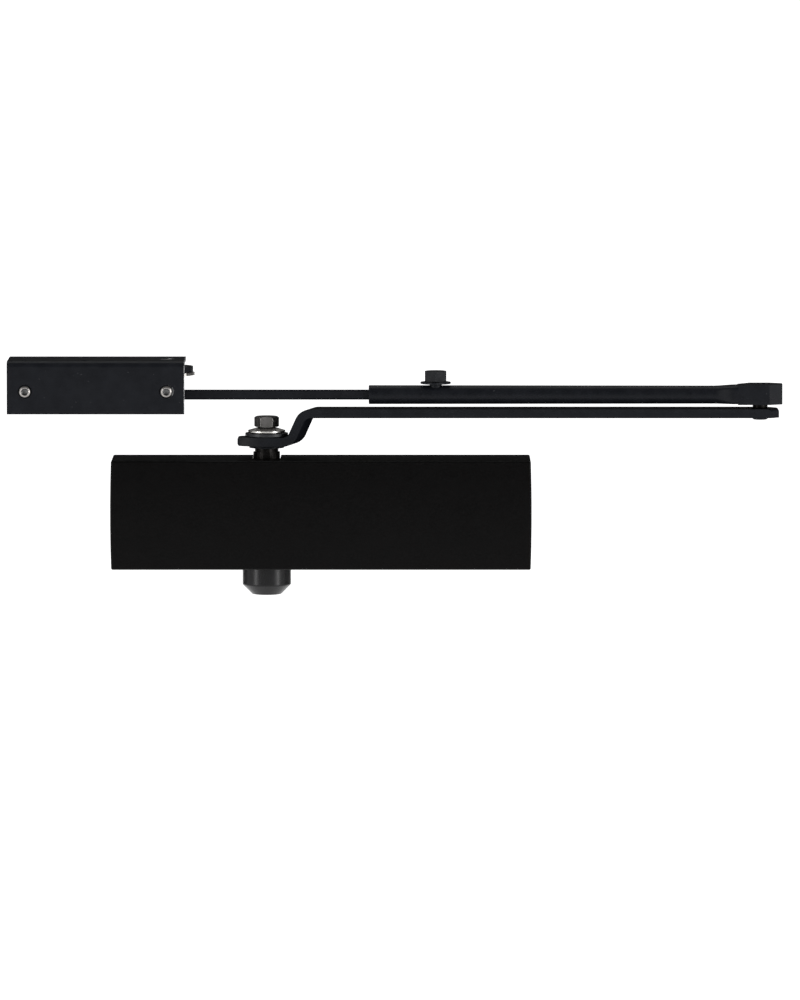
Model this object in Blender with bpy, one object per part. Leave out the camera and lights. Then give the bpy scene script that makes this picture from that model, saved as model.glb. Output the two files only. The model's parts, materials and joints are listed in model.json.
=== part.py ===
"""Overhead door closer: a covered rack-and-pinion closer body, a two-piece arm and a hold-open bracket.

World frame, in metres: +X along the closer towards the elbow, +Y into the door, +Z up. The origin is
the spindle's axis projected onto the door face, at the middle of the casing's height. Each piece of a
moving body is modelled about that body's own joint axis and parented to an empty on it.
"""

import math

import bmesh
import bpy
from mathutils import Matrix, Vector

MM = 0.001

# Fits
GAP = 0.3 * MM  # between faces that touch on the real object
SLIP = 0.15 * MM  # radial play of a shaft in its hole
LOOSE = 0.2 * MM  # radial play of a screwed or riveted piece in its hole
THROUGH = 5 * MM  # how far a cutter runs past the faces that it opens

# Pinion, rack and piston
TEETH = 12
PITCH_RADIUS = 8 * MM
PRESSURE_ANGLE = math.radians(25)
BACKLASH = 0.3 * MM
GEAR_HALF_WIDTH = 9.5 * MM
MODULE = 2 * PITCH_RADIUS / TEETH
DEDENDUM = 1.25 * MODULE
GEAR_TIP = PITCH_RADIUS + MODULE
GEAR_ROOT = PITCH_RADIUS - DEDENDUM
GEAR_NECK = GEAR_HALF_WIDTH - 0.4 * MM  # from the gear's middle to where the journals start
PISTON_TRAVEL = 21.5 * MM
PISTON_LEFT_HEAD = 20 * MM
PISTON_RIGHT_HEAD = 12 * MM
PISTON_PLAY = 0.1 * MM
WINDOW_ROOM = 1 * MM  # from the pinion's tips to the window's ends
CHECK_BORE_RADIUS = 5 * MM
CHECK_BORE_DEPTH = 12 * MM
CHECK_PORT_RADIUS = 2 * MM
BALL_RADIUS = 3 * MM
SPRING_POCKET_WALL = 1.7 * MM
SPRING_POCKET_DEPTH = 5 * MM
OUTER_SPRING_WIRE = 1.6 * MM
INNER_SPRING_WIRE = 1 * MM

# Casing and its hydraulic bore
BORE_RADIUS = 14 * MM
BARREL_WALL = 3.5 * MM
BARREL_STANDOFF = 4.5 * MM  # from the door face to the barrel
FLANGE_THICKNESS = 6 * MM
FLANGE_MARGIN = 9.5 * MM  # how far the flange reaches above and below the barrel
CASING_LEFT = -82 * MM
CASING_RIGHT = 143 * MM
BARREL_RADIUS = BORE_RADIUS + BARREL_WALL
PISTON_RADIUS = BORE_RADIUS - PISTON_PLAY
SPRING_POCKET_RADIUS = PISTON_RADIUS - SPRING_POCKET_WALL
SPINDLE_BACK = BARREL_RADIUS + BARREL_STANDOFF  # from the door face to the spindle's axis
CASING_HALF_HEIGHT = BARREL_RADIUS + FLANGE_MARGIN
MOUNT_HOLE_RADIUS = 2.9 * MM
MOUNT_HOLE_INSET = 10 * MM
MOUNT_HOLE_HEIGHT = BARREL_RADIUS + 4.7 * MM
PLUG_LIP = 1.5 * MM
PLUG_DEPTH = 9.7 * MM
PLUG_NOSE = 8 * MM
PLUG_GROOVE = (3 * MM, 5.4 * MM)  # the seal groove's walls, from the plug's shoulder
PLUG_GROOVE_DEPTH = 2 * MM
PLUG_SOCKET = 10 * MM
PLUG_SOCKET_DEPTH = 5 * MM
PLUG_RADIUS = BORE_RADIUS + PLUG_LIP
SEAL_WIRE = 0.85 * MM

# Speed valves
VALVE_POSITIONS = {"closing": -52 * MM, "latching": -32 * MM}
VALVE_RADIUS = 3.5 * MM
VALVE_LENGTH = 17 * MM
VALVE_FORWARD = 14 * MM  # from the spindle's axis forward to the valves' heads
VALVE_MARGIN = 10 * MM  # of the block's ends, past the valves' axes
VALVE_SEAL_WIRE = 0.55 * MM
VALVE_HEIGHT = -BARREL_RADIUS - VALVE_RADIUS
VALVE_FACE = -SPINDLE_BACK - VALVE_FORWARD
VALVE_BLOCK_FOOT = -CASING_HALF_HEIGHT + 0.4 * MM

# Front cover
COVER_WALL = 2 * MM
COVER_END_ROOM = 3 * MM
COVER_SIDE_ROOM = 1.5 * MM
COVER_FRONT_ROOM = 4.5 * MM
COVER_BACK = -1 * MM
COVER_BOW = 1.2 * MM
COVER_EDGE = 2 * MM
NOTCH_ROOM = 0.7 * MM  # from the nuts to the cover's notches
COVER_LEFT = CASING_LEFT - COVER_END_ROOM - COVER_WALL
COVER_RIGHT = CASING_RIGHT + COVER_END_ROOM + COVER_WALL
COVER_HALF_HEIGHT = CASING_HALF_HEIGHT + COVER_SIDE_ROOM + COVER_WALL
COVER_DEPTH = SPINDLE_BACK + BARREL_RADIUS + COVER_FRONT_ROOM + COVER_WALL

# Bearings and nuts
SHAFT_RADIUS = 6.6 * MM
SHAFT_FLAT_DEPTH = 1.3 * MM
BEARING_STEP = 0.27 * MM  # how much wider than the pinion the bearings' bore is
NUT_STEP = 1.4 * MM
BOSS_WALL = 3.5 * MM
BOSS_STAND = 0.4 * MM
BUSH_INNER = 1.5 * MM  # from the pinion's face to its bush
BUSH_LENGTH = 9.5 * MM
NUT_SEAT = 3 * MM  # how deep the nuts' seats go below the casing's top and bottom
NUT_NECK_WALL = 0.9 * MM
NUT_RIM = 1.2 * MM
NUT_SHOWING = 3.4 * MM  # how much of the upper nut's neck shows above the cover
LOWER_NUT_DROP = 6 * MM
SHAFT_FLAT = SHAFT_RADIUS - SHAFT_FLAT_DEPTH
BEARING_RADIUS = GEAR_TIP + BEARING_STEP
NUT_RADIUS = BEARING_RADIUS + NUT_STEP
BOSS_RADIUS = NUT_RADIUS + BOSS_WALL
BOSS_HALF_HEIGHT = CASING_HALF_HEIGHT + BOSS_STAND
NUT_NECK_RADIUS = SHAFT_RADIUS + NUT_NECK_WALL
NUT_TOP = COVER_HALF_HEIGHT + NUT_SHOWING

# Pinion cap
CAP_WALL = 1.5 * MM
CAP_SIDE_ROOM = 2.6 * MM
CAP_SHOWING = 15.5 * MM
CAP_CHAMFER = 5.5 * MM
CAP_GAP = 0.4 * MM  # from the cover's underside to the cap
CAP_RADIUS = NUT_RADIUS + CAP_SIDE_ROOM
NUT_RIM_RADIUS = CAP_RADIUS - CAP_WALL - LOOSE  # of the lower nut, which the cap snaps over
CAP_TOP = -COVER_HALF_HEIGHT - CAP_GAP
CAP_BOTTOM = -COVER_HALF_HEIGHT - CAP_SHOWING
SHAFT_FOOT = CAP_BOTTOM + CAP_WALL + 2.5 * MM

# Spindle stack
DISC_RADIUS = 9.8 * MM
DISC_THICKNESS = 0.9 * MM
DISC_ROOM = 2.3 * MM  # of bare spindle between the nut and the disc
BOLT_SHANK_RADIUS = 3.9 * MM
BOLT_LENGTH = 19 * MM
HEX_ACROSS_FLATS = 12 * MM
HEX_HEIGHT = 6 * MM
HEX_CHAMFER = 1.3 * MM
FLAT_WASHER_RADIUS = 12 * MM
FLAT_WASHER_THICKNESS = 1.9 * MM
SPRING_WASHER_RADIUS = 10.5 * MM
SPRING_WASHER_THICKNESS = 1.1 * MM
SPRING_WASHER_DISH = 1.8 * MM
DISC_BOTTOM = NUT_TOP + DISC_ROOM

# Main arm
ARM_REACH = 276 * MM
ARM_WIDTH = 20 * MM
ARM_THICKNESS = 5 * MM
ARM_RISE = 16 * MM
EYE_TIP = 16.3 * MM
EYE_HALF_WIDTH = 11 * MM
EYE_CLIP = (11.6 * MM, 7 * MM)
END_CLIP = 5 * MM
CRANK_ROOM = 4.6 * MM  # from the flat washer's edge to the crank's middle
CRANK_ANGLE = math.radians(66)
CRANK_BEND = 6.5 * MM
CRANK_SKEW = 5 * MM
ARM_END_MARGIN = 10.4 * MM
CRANK_MIDDLE = FLAT_WASHER_RADIUS + CRANK_ROOM
ARM_BOTTOM = DISC_BOTTOM + DISC_THICKNESS + GAP
ARM_SEAT = ARM_BOTTOM + ARM_THICKNESS
ARM_TOP = ARM_SEAT + ARM_RISE

# Adjusting rod and forearm
ROD_SIDE = 5.4 * MM
ROD_CHAMFER = 0.9 * MM
ROD_IN_TUBE = 83 * MM
ROD_PLAY = 0.6 * MM
ELBOW_PIN_RADIUS = 3 * MM
ELBOW_HEAD_RADIUS = 4.2 * MM
ELBOW_HEAD_THICKNESS = 1.25 * MM
ELBOW_SPACER = 2.3 * MM
TUBE_WALL = 1.45 * MM
TUBE_TAPER = 0.25 * MM
TUBE_LENGTH = 206 * MM
TUBE_SEAT = 5.2 * MM  # from the end block's bottom to the tube's axis
ELBOW_BLOCK_BACK = 12.6 * MM
ELBOW_BLOCK_FRONT = 12.3 * MM
ELBOW_BLOCK_HEIGHT = 11.3 * MM
ELBOW_BLOCK_WIDTH = 18 * MM
SPIGOT_LENGTH = 15 * MM
CLAMP_INSET = 37.4 * MM  # from the tube's open end to the clamp bolt
CLAMP_SHANK_RADIUS = 3.5 * MM
CLAMP_WASHER_RADIUS = 8.5 * MM
CLAMP_WASHER_THICKNESS = 1.1 * MM
CLAMP_WASHER_STAND = 0.8 * MM
ROD_REACH = math.hypot(ROD_SIDE / 2, ROD_SIDE / 2 - ROD_CHAMFER)
TUBE_BORE = ROD_REACH + ROD_PLAY
TUBE_RADIUS = TUBE_BORE + TUBE_WALL
BLOCK_BOTTOM = ARM_TOP + ELBOW_SPACER
FOREARM_HEIGHT = BLOCK_BOTTOM + TUBE_SEAT
ROD_BOTTOM = FOREARM_HEIGHT - ROD_SIDE / 2
ROD_TOP = FOREARM_HEIGHT + ROD_SIDE / 2

# Rod eye, hub and cam, on the bracket's pivot
PIVOT_PAST_SPINDLE = 56 * MM
ROD_EYE_RADIUS = 9 * MM
HUB_RADIUS = 8 * MM
HUB_HEIGHT = 8.2 * MM
KEY_STEP = 1.5 * MM
KEY_FLAT_DEPTH = 1.1 * MM
CAM_RADIUS = 15 * MM
CAM_THICKNESS = 3.1 * MM
CAM_WASHER_LIP = 1 * MM
CAM_WASHER_THICKNESS = 1.4 * MM
NOTCH_ANGLE = math.radians(120)
NOTCH_HALF_ANGLE = math.radians(11)
NOTCH_DEPTH = 2 * MM
PIVOT_REACH = ARM_REACH + PIVOT_PAST_SPINDLE  # from the elbow's axis to the bracket's pivot
KEY_RADIUS = HUB_RADIUS - KEY_STEP
KEY_FLAT = KEY_RADIUS - KEY_FLAT_DEPTH
CAM_WASHER_RADIUS = CAM_RADIUS + CAM_WASHER_LIP
CAM_WASHER_BOTTOM = ROD_TOP + HUB_HEIGHT + GAP
CAM_BOTTOM = CAM_WASHER_BOTTOM + CAM_WASHER_THICKNESS + GAP
CAM_TOP = CAM_BOTTOM + CAM_THICKNESS

# Hold-open bracket
BRACKET_LEFT = -88.5 * MM
CAM_SHOWING = 4.5 * MM  # how far the cam shows past the bracket's right end
CAM_SIDE_ROOM = 1.7 * MM
CAM_HEADROOM = 1.7 * MM
SHEET = 2.3 * MM
SHEET_BEND = 3.5 * MM
SOFFIT_HOLE_INSETS = (10.5 * MM, 43.5 * MM)
SOFFIT_HOLE_OFFSET = 12.4 * MM
SOFFIT_HOLE_RADIUS = 2.6 * MM
RIVET_INSET = 10.1 * MM
RIVET_RISE = 3.1 * MM
RIVET_HEAD_RADIUS = 3.25 * MM
RIVET_SHANK_RADIUS = 1.8 * MM
RIVET_TAIL = 1.1 * MM
FRAME_SHEET = 2 * MM
FRAME_LEFT_INSET = 4.5 * MM
FRAME_RIGHT_INSET = 2.5 * MM
SHELF_MARGIN = 10 * MM  # from the cam's washer to the shelf
ACCESS_RADIUS = 4 * MM
PIVOT_PIN_RADIUS = 4 * MM
PIVOT_HEAD_RADIUS = 6 * MM
PIVOT_HEAD_THICKNESS = 1.6 * MM
PIVOT_WASHER_THICKNESS = 2.1 * MM
BRACKET_RIGHT = CAM_RADIUS - CAM_SHOWING
BRACKET_HALF_DEPTH = CAM_WASHER_RADIUS + CAM_SIDE_ROOM + SHEET
BRACKET_TOP = CAM_TOP + CAM_HEADROOM + SHEET
FRAME_FOOT = ROD_BOTTOM - PIVOT_WASHER_THICKNESS - FRAME_SHEET - 2 * GAP
BRACKET_BOTTOM = FRAME_FOOT - PIVOT_HEAD_THICKNESS - 2 * GAP
SOFFIT_HOLES = [BRACKET_LEFT + inset for inset in SOFFIT_HOLE_INSETS]
RIVET_POSITIONS = {"left": BRACKET_LEFT + RIVET_INSET, "right": BRACKET_RIGHT - RIVET_INSET}
RIVET_HEIGHT = FOREARM_HEIGHT + RIVET_RISE
FRAME_LEFT = BRACKET_LEFT + FRAME_LEFT_INSET
FRAME_RIGHT = BRACKET_RIGHT - FRAME_RIGHT_INSET

# Hold-open plunger, in its guide under the soffit plate
ROLLER_RADIUS = 4.5 * MM
ROLLER_HEIGHT = 2.6 * MM
ROLLER_PIN_RADIUS = 1.2 * MM
PLUNGER_HALF_WIDTH = 4 * MM
PLUNGER_LENGTH = 22 * MM
PLUNGER_NOSE = 2.4 * MM
PLUNGER_SEAT = 5.85 * MM  # from the shelf's top to the plunger's middle
STEM_LENGTH = 6 * MM
STEM_RADIUS = 1.7 * MM
GUIDE_WALL = 2 * MM
GUIDE_FLOOR = 1.4 * MM
GUIDE_END = 4 * MM
GUIDE_MOUTH = 14 * MM  # from the roller's axis back to the guide's open end
ADJUSTER_RADIUS = 2.4 * MM
ADJUSTER_LENGTH = 11 * MM
ADJUSTER_SHOWING = 3.5 * MM
HOLD_SPRING_RADIUS = 2.7 * MM
HOLD_SPRING_WIRE = 0.5 * MM
PLUNGER_HEIGHT = CAM_TOP - CAM_THICKNESS / 2
ROLLER_PLACE = -(CAM_RADIUS + ROLLER_RADIUS + SLIP)
SHELF_TOP = PLUNGER_HEIGHT - PLUNGER_SEAT
SHELF_RIGHT = -CAM_WASHER_RADIUS - SHELF_MARGIN
GUIDE_TOP = BRACKET_TOP - SHEET - GAP
GUIDE_HALF_WIDTH = PLUNGER_HALF_WIDTH + GAP + GUIDE_WALL

ROUND = 24  # sides of a round piece
SMALL_ROUND = 16

FINISHES = {
    "black_cover": ((0.012, 0.012, 0.013), 0.5, 0.0),
    "black_paint": ((0.016, 0.017, 0.02), 0.42, 0.1),
    "black_plastic": ((0.01, 0.01, 0.011), 0.3, 0.0),
    "grey_casting": ((0.2, 0.2, 0.21), 0.6, 0.6),
    "steel": ((0.45, 0.44, 0.42), 0.35, 1.0),
    "zinc": ((0.62, 0.61, 0.58), 0.3, 1.0),
    "bronze": ((0.55, 0.38, 0.18), 0.4, 1.0),
    "rubber": ((0.02, 0.02, 0.02), 0.8, 0.0),
    "brass": ((0.7, 0.52, 0.22), 0.3, 1.0),
}


def clear_scene():
    for obj in list(bpy.data.objects):
        bpy.data.objects.remove(obj, do_unlink=True)


def material(name, finish):
    colour, roughness, metallic = FINISHES[finish]
    made = bpy.data.materials.new(name)
    made.use_nodes = True
    shader = made.node_tree.nodes["Principled BSDF"]
    shader.inputs["Base Color"].default_value = (*colour, 1)
    shader.inputs["Roughness"].default_value = roughness
    shader.inputs["Metallic"].default_value = metallic
    return made


def joint_axis(name, location, parent=None):
    """An empty on a joint's axis, which the pieces of the moving body hang from."""
    empty = bpy.data.objects.new(name, None)
    bpy.context.collection.objects.link(empty)
    empty.location = location
    empty.parent = parent
    return empty


def mesh_object(name, bm, finish=None, parent=None):
    """Turns a bmesh into an object. A shape with no finish is a helper that isn't part of the model."""
    bmesh.ops.recalc_face_normals(bm, faces=bm.faces)
    mesh = bpy.data.meshes.new(name)
    bm.to_mesh(mesh)
    bm.free()
    obj = bpy.data.objects.new(name, mesh)
    bpy.context.collection.objects.link(obj)
    obj.parent = parent
    if finish:
        mesh.materials.append(material(name, finish))
        mesh.shade_smooth()
        mesh.set_sharp_from_angle(angle=math.radians(35))
    else:
        obj.hide_render = True
        obj.display_type = "WIRE"
    return obj


def arc(centre, radius, start, end, steps):
    """Points of an arc, in degrees, both ends included."""
    angles = [math.radians(start + (end - start) * i / steps) for i in range(steps + 1)]
    return [(centre[0] + radius * math.cos(a), centre[1] + radius * math.sin(a)) for a in angles]


def circle(radius, steps=ROUND, centre=(0, 0)):
    return arc(centre, radius, 0, 360, steps)[:-1]


def flatted(radius, flat, steps=4):
    """A round section with four flats milled on it, each at a distance from the axis."""
    half = math.degrees(math.acos(flat / radius))
    points = []
    for quarter in range(4):
        points += arc((0, 0), radius, 90 * quarter + half, 90 * (quarter + 1) - half, steps)
    return points


def rectangle(low, high):
    return [(low[0], low[1]), (high[0], low[1]), (high[0], high[1]), (low[0], high[1])]


# Each plane takes an outline's two coordinates, and the third runs along the extrusion.
PLANES = {
    "XY": lambda a, b, depth: (a, b, depth),
    "XZ": lambda a, b, depth: (a, depth, b),
    "YZ": lambda a, b, depth: (depth, a, b),
}


def prism_mesh(outline, start, end, plane="XY", bm=None):
    """Extrudes a closed outline from start to end along the axis across its plane."""
    bm = bm or bmesh.new()
    place = PLANES[plane]
    face = bm.faces.new([bm.verts.new(place(a, b, start)) for a, b in outline])
    grown = bmesh.ops.extrude_face_region(bm, geom=[face])["geom"]
    moved = [v for v in grown if isinstance(v, bmesh.types.BMVert)]
    bmesh.ops.translate(bm, verts=moved, vec=Vector(place(0, 0, end - start)))
    return bm


def prism(name, outline, start, end, finish=None, parent=None, plane="XY"):
    return mesh_object(name, prism_mesh(outline, start, end, plane), finish, parent)


def box(name, low, high, finish=None, parent=None):
    return prism(name, rectangle(low[:2], high[:2]), low[2], high[2], finish, parent)


def turned_mesh(profile, steps=ROUND, axis="Z", centre=(0, 0, 0)):
    """Spins a profile of (radius, height) points about an axis. It starts and ends on the axis, or closes."""
    bm = bmesh.new()
    verts = [bm.verts.new((radius, 0, height)) for radius, height in profile]
    edges = [bm.edges.new(pair) for pair in zip(verts, verts[1:])]
    if profile[0][0] > 0:
        edges.append(bm.edges.new((verts[-1], verts[0])))
    bmesh.ops.spin(bm, geom=verts + edges, axis=(0, 0, 1), cent=(0, 0, 0), angle=2 * math.pi, steps=steps)
    bmesh.ops.remove_doubles(bm, verts=bm.verts, dist=1e-7)
    turn = {
        "Z": Matrix.Identity(4),
        "X": Matrix.Rotation(math.pi / 2, 4, "Y"),
        "Y": Matrix.Rotation(-math.pi / 2, 4, "X"),
    }[axis]
    bmesh.ops.transform(bm, matrix=Matrix.Translation(centre) @ turn, verts=bm.verts)
    return bm


def turned(name, profile, finish=None, parent=None, steps=ROUND, axis="Z", centre=(0, 0, 0)):
    return mesh_object(name, turned_mesh(profile, steps, axis, centre), finish, parent)


def rod_profile(*stages):
    """A solid turned profile from (radius, start, end) stages that follow one another."""
    points = [(0, stages[0][1])]
    for radius, start, end in stages:
        points += [(radius, start), (radius, end)]
    return points + [(0, stages[-1][2])]


def ring_profile(inner, outer, start, end):
    return [(inner, start), (outer, start), (outer, end), (inner, end)]


def torus_profile(radius, wire, height, steps=8):
    return [(radius + a, height + b) for a, b in circle(wire, steps)]


def join(obj, *tools):
    boolean(obj, tools, "UNION")


def cut(obj, *tools):
    boolean(obj, tools, "DIFFERENCE")


def boolean(obj, tools, operation):
    for tool in tools:
        modifier = obj.modifiers.new(tool.name, "BOOLEAN")
        modifier.object = tool
        modifier.operation = operation
        modifier.solver = "EXACT"


def coil(name, mean_radius, wire, start, end, turns, parent, centre=(0, 0), points_per_turn=10, sides=5):
    """A compression spring along X: a wire section carried along a helix, with its two ends closed."""
    bm = bmesh.new()
    count = turns * points_per_turn
    rings = []
    for i in range(count + 1):
        angle = 2 * math.pi * i / points_per_turn
        along = start + wire + (end - start - 2 * wire) * i / count
        ring = []
        for a, b in circle(wire, sides):
            y = centre[0] + (mean_radius + a) * math.cos(angle)
            z = centre[1] + (mean_radius + a) * math.sin(angle)
            ring.append(bm.verts.new((along + b, y, z)))
        rings.append(ring)
    for first, second in zip(rings, rings[1:]):
        for k in range(sides):
            m = (k + 1) % sides
            bm.faces.new((first[k], first[m], second[m], second[k]))
    bm.faces.new(rings[0][::-1])
    bm.faces.new(rings[-1])
    return mesh_object(name, bm, "steel", parent)


def hex_outline(across_flats, start_angle):
    return circle_from(across_flats / math.sqrt(3), start_angle, 6)


def circle_from(radius, start_angle, steps):
    return arc((0, 0), radius, start_angle, start_angle + 360, steps)[:-1]


# ---------------------------------------------------------------- casing


def casing_outline():
    """The casing's section: a barrel on a full-length flange against the door."""
    back, face = SPINDLE_BACK, -FLANGE_THICKNESS
    front_arc = arc((-back, 0), BARREL_RADIUS, 90, 270, 16)
    return [
        (0, -CASING_HALF_HEIGHT),
        (0, CASING_HALF_HEIGHT),
        (face, CASING_HALF_HEIGHT),
        (face, BARREL_RADIUS),
        *front_arc,
        (face, -BARREL_RADIUS),
        (face, -CASING_HALF_HEIGHT),
    ]


def make_casing():
    casing = prism("casing", casing_outline(), CASING_LEFT, CASING_RIGHT, "grey_casting", plane="YZ")
    on_axis = (0, -SPINDLE_BACK, 0)
    half = CASING_HALF_HEIGHT
    boss = turned("boss", rod_profile((BOSS_RADIUS, -BOSS_HALF_HEIGHT, BOSS_HALF_HEIGHT)), centre=on_axis)
    left, right = min(VALVE_POSITIONS.values()) - VALVE_MARGIN, max(VALVE_POSITIONS.values()) + VALVE_MARGIN
    block = box("valve_block", (left, VALVE_FACE, VALVE_BLOCK_FOOT), (right, -1 * MM, -BARREL_WALL))
    join(casing, boss, block)

    bore = turned(
        "bore",
        rod_profile(
            (PLUG_RADIUS + LOOSE, CASING_LEFT - THROUGH, CASING_LEFT + PLUG_DEPTH + GAP),
            (BORE_RADIUS, CASING_LEFT + PLUG_DEPTH + GAP, CASING_RIGHT - PLUG_DEPTH - GAP),
            (PLUG_RADIUS + LOOSE, CASING_RIGHT - PLUG_DEPTH - GAP, CASING_RIGHT + THROUGH),
        ),
        axis="X",
        centre=on_axis,
    )
    nut_bore, step, end = NUT_RADIUS + LOOSE, half - NUT_SEAT, half + THROUGH
    cross_bore = turned(
        "cross_bore",
        rod_profile((nut_bore, -end, -step), (BEARING_RADIUS + LOOSE, -step, step), (nut_bore, step, end)),
        centre=on_axis,
    )
    cut(casing, bore, cross_bore)

    for name, along in VALVE_POSITIONS.items():
        hole = turned(
            name + "_valve_hole",
            rod_profile((VALVE_RADIUS + LOOSE, -THROUGH, VALVE_LENGTH + GAP)),
            steps=SMALL_ROUND,
            axis="Y",
            centre=(along, VALVE_FACE, VALVE_HEIGHT),
        )
        cut(casing, hole)
    for side, along in (("left", CASING_LEFT + MOUNT_HOLE_INSET), ("right", CASING_RIGHT - MOUNT_HOLE_INSET)):
        for level, height in (("upper", MOUNT_HOLE_HEIGHT), ("lower", -MOUNT_HOLE_HEIGHT)):
            hole = turned(
                f"mount_hole_{side}_{level}",
                rod_profile((MOUNT_HOLE_RADIUS, -FLANGE_THICKNESS - THROUGH, THROUGH)),
                steps=SMALL_ROUND,
                axis="Y",
                centre=(along, 0, height),
            )
            cut(casing, hole)


def make_end_plug(side, outward):
    """A screwed plug with a hexagon socket, and its seal. outward is -1 at the left, +1 at the right."""
    edge = CASING_LEFT if outward < 0 else CASING_RIGHT
    groove = PLUG_GROOVE
    nose = BORE_RADIUS - LOOSE
    floor = nose - PLUG_GROOVE_DEPTH
    profile = rod_profile(
        (nose, -PLUG_NOSE, -groove[1]),
        (floor, -groove[1], -groove[0]),
        (nose, -groove[0], 0),
        (PLUG_RADIUS, 0, PLUG_DEPTH),
    )
    shoulder = edge - outward * PLUG_DEPTH
    profile = [(radius, outward * along) for radius, along in profile]
    centre = (shoulder, -SPINDLE_BACK, 0)
    plug = turned(f"end_plug_{side}", profile, "steel", axis="X", centre=centre)
    socket = prism(
        f"end_plug_{side}_socket",
        [(a - SPINDLE_BACK, b) for a, b in hex_outline(PLUG_SOCKET, 0)],
        edge - outward * PLUG_SOCKET_DEPTH,
        edge + outward * THROUGH,
        plane="YZ",
    )
    cut(plug, socket)
    middle = -outward * (groove[0] + groove[1]) / 2
    turned(
        f"end_plug_{side}_seal",
        torus_profile(floor + SLIP + SEAL_WIRE, SEAL_WIRE, middle),
        "rubber",
        axis="X",
        centre=centre,
    )


def make_bearings():
    on_axis = (0, -SPINDLE_BACK, 0)
    half = CASING_HALF_HEIGHT
    shaft = SHAFT_RADIUS + SLIP
    for side, up in (("upper", 1), ("lower", -1)):
        bush = GEAR_HALF_WIDTH + BUSH_INNER
        bush_ends = sorted((up * bush, up * (bush + BUSH_LENGTH)))
        seal_ends = sorted((up * (bush + BUSH_LENGTH + GAP), up * (half - NUT_SEAT - GAP)))
        pieces = (("bearing_bush", bush_ends, "bronze"), ("shaft_seal", seal_ends, "rubber"))
        for name, ends, finish in pieces:
            turned(f"{side}_{name}", ring_profile(shaft, BEARING_RADIUS, *ends), finish, centre=on_axis)
    nut_start = half - NUT_SEAT + GAP
    upper = [
        (shaft, nut_start),
        (NUT_RADIUS, nut_start),
        (NUT_RADIUS, half + NUT_RIM),
        (NUT_NECK_RADIUS, half + NUT_RIM),
        (NUT_NECK_RADIUS, NUT_TOP),
        (shaft, NUT_TOP),
    ]
    turned("upper_bearing_nut", upper, "steel", centre=on_axis)
    lower = [
        (shaft, -nut_start),
        (NUT_RADIUS, -nut_start),
        (NUT_RADIUS, -BOSS_HALF_HEIGHT - GAP),
        (NUT_RIM_RADIUS, -BOSS_HALF_HEIGHT - GAP),
        (NUT_RIM_RADIUS, -half - LOWER_NUT_DROP),
        (shaft, -half - LOWER_NUT_DROP),
    ]
    turned("lower_bearing_nut", lower, "steel", centre=on_axis)


def make_valves():
    for name, along in VALVE_POSITIONS.items():
        axis = joint_axis(f"{name}_valve_axis", (along, VALVE_FACE, VALVE_HEIGHT))
        groove = (9 * MM, 11.2 * MM)
        floor = VALVE_RADIUS - 1.3 * MM
        profile = [
            (0, 0),
            (VALVE_RADIUS, 0),
            (VALVE_RADIUS, groove[0]),
            (floor, groove[0]),
            (floor, groove[1]),
            (VALVE_RADIUS, groove[1]),
            (VALVE_RADIUS, 14 * MM),
            (0, VALVE_LENGTH),
        ]
        valve = turned(f"{name}_speed_valve", profile, "brass", axis, SMALL_ROUND, "Y")
        slot = box(
            f"{name}_valve_slot", (-5 * MM, -1 * MM, -0.5 * MM), (5 * MM, 1.5 * MM, 0.5 * MM), parent=axis
        )
        cut(valve, slot)
        seal = torus_profile(floor + SLIP + VALVE_SEAL_WIRE, VALVE_SEAL_WIRE, sum(groove) / 2, 6)
        turned(f"{name}_valve_seal", seal, "rubber", axis, SMALL_ROUND, "Y")


# ---------------------------------------------------------------- pinion, rack and piston


def involute_point(base_radius, radius, offset):
    """A point of an involute flank at a radius. offset turns the flank about the gear's centre."""
    turn = math.sqrt(max((radius / base_radius) ** 2 - 1, 0))
    angle = offset + turn - math.atan(turn)
    return radius * math.cos(angle), radius * math.sin(angle)


def gear_outline(flank_steps=4):
    base_radius = PITCH_RADIUS * math.cos(PRESSURE_ANGLE)
    half_tooth = math.pi / (2 * TEETH) - BACKLASH / (4 * PITCH_RADIUS)
    at_pitch = math.tan(PRESSURE_ANGLE) - PRESSURE_ANGLE
    points = []
    for tooth in range(TEETH):
        middle = math.pi / 2 + 2 * math.pi * tooth / TEETH
        start = -half_tooth - at_pitch
        radii = [base_radius + (GEAR_TIP - base_radius) * i / flank_steps for i in range(flank_steps + 1)]
        flank = [(GEAR_ROOT * math.cos(start), GEAR_ROOT * math.sin(start))]
        flank += [involute_point(base_radius, radius, start) for radius in radii]
        whole = flank + [(x, -y) for x, y in reversed(flank)]
        c, s = math.cos(middle), math.sin(middle)
        points += [(x * c - y * s, x * s + y * c) for x, y in whole]
    return points


def make_pinion(axis):
    journal_foot = -CASING_HALF_HEIGHT - LOWER_NUT_DROP - 1 * MM
    drive = flatted(SHAFT_RADIUS, SHAFT_FLAT)
    journals = rod_profile(
        (SHAFT_RADIUS, journal_foot, -GEAR_NECK),
        (GEAR_ROOT, -GEAR_NECK, GEAR_NECK),
        (SHAFT_RADIUS, GEAR_NECK, DISC_BOTTOM - GAP),
    )
    shaft = turned("pinion_shaft", journals, "steel", axis)
    gear = prism("pinion_gear", gear_outline(), -GEAR_HALF_WIDTH, GEAR_HALF_WIDTH, parent=axis)
    upper = prism("upper_drive", drive, DISC_BOTTOM - 2 * MM, ARM_SEAT - GAP, parent=axis)
    lower = prism("lower_drive", drive, SHAFT_FOOT, journal_foot + 2 * MM, parent=axis)
    thread = turned(
        "arm_bolt_hole",
        rod_profile((BOLT_SHANK_RADIUS + LOOSE, ARM_SEAT - BOLT_LENGTH - THROUGH, ARM_SEAT + THROUGH)),
        parent=axis,
        steps=SMALL_ROUND,
    )
    join(shaft, gear, upper, lower)
    cut(shaft, thread)


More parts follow.
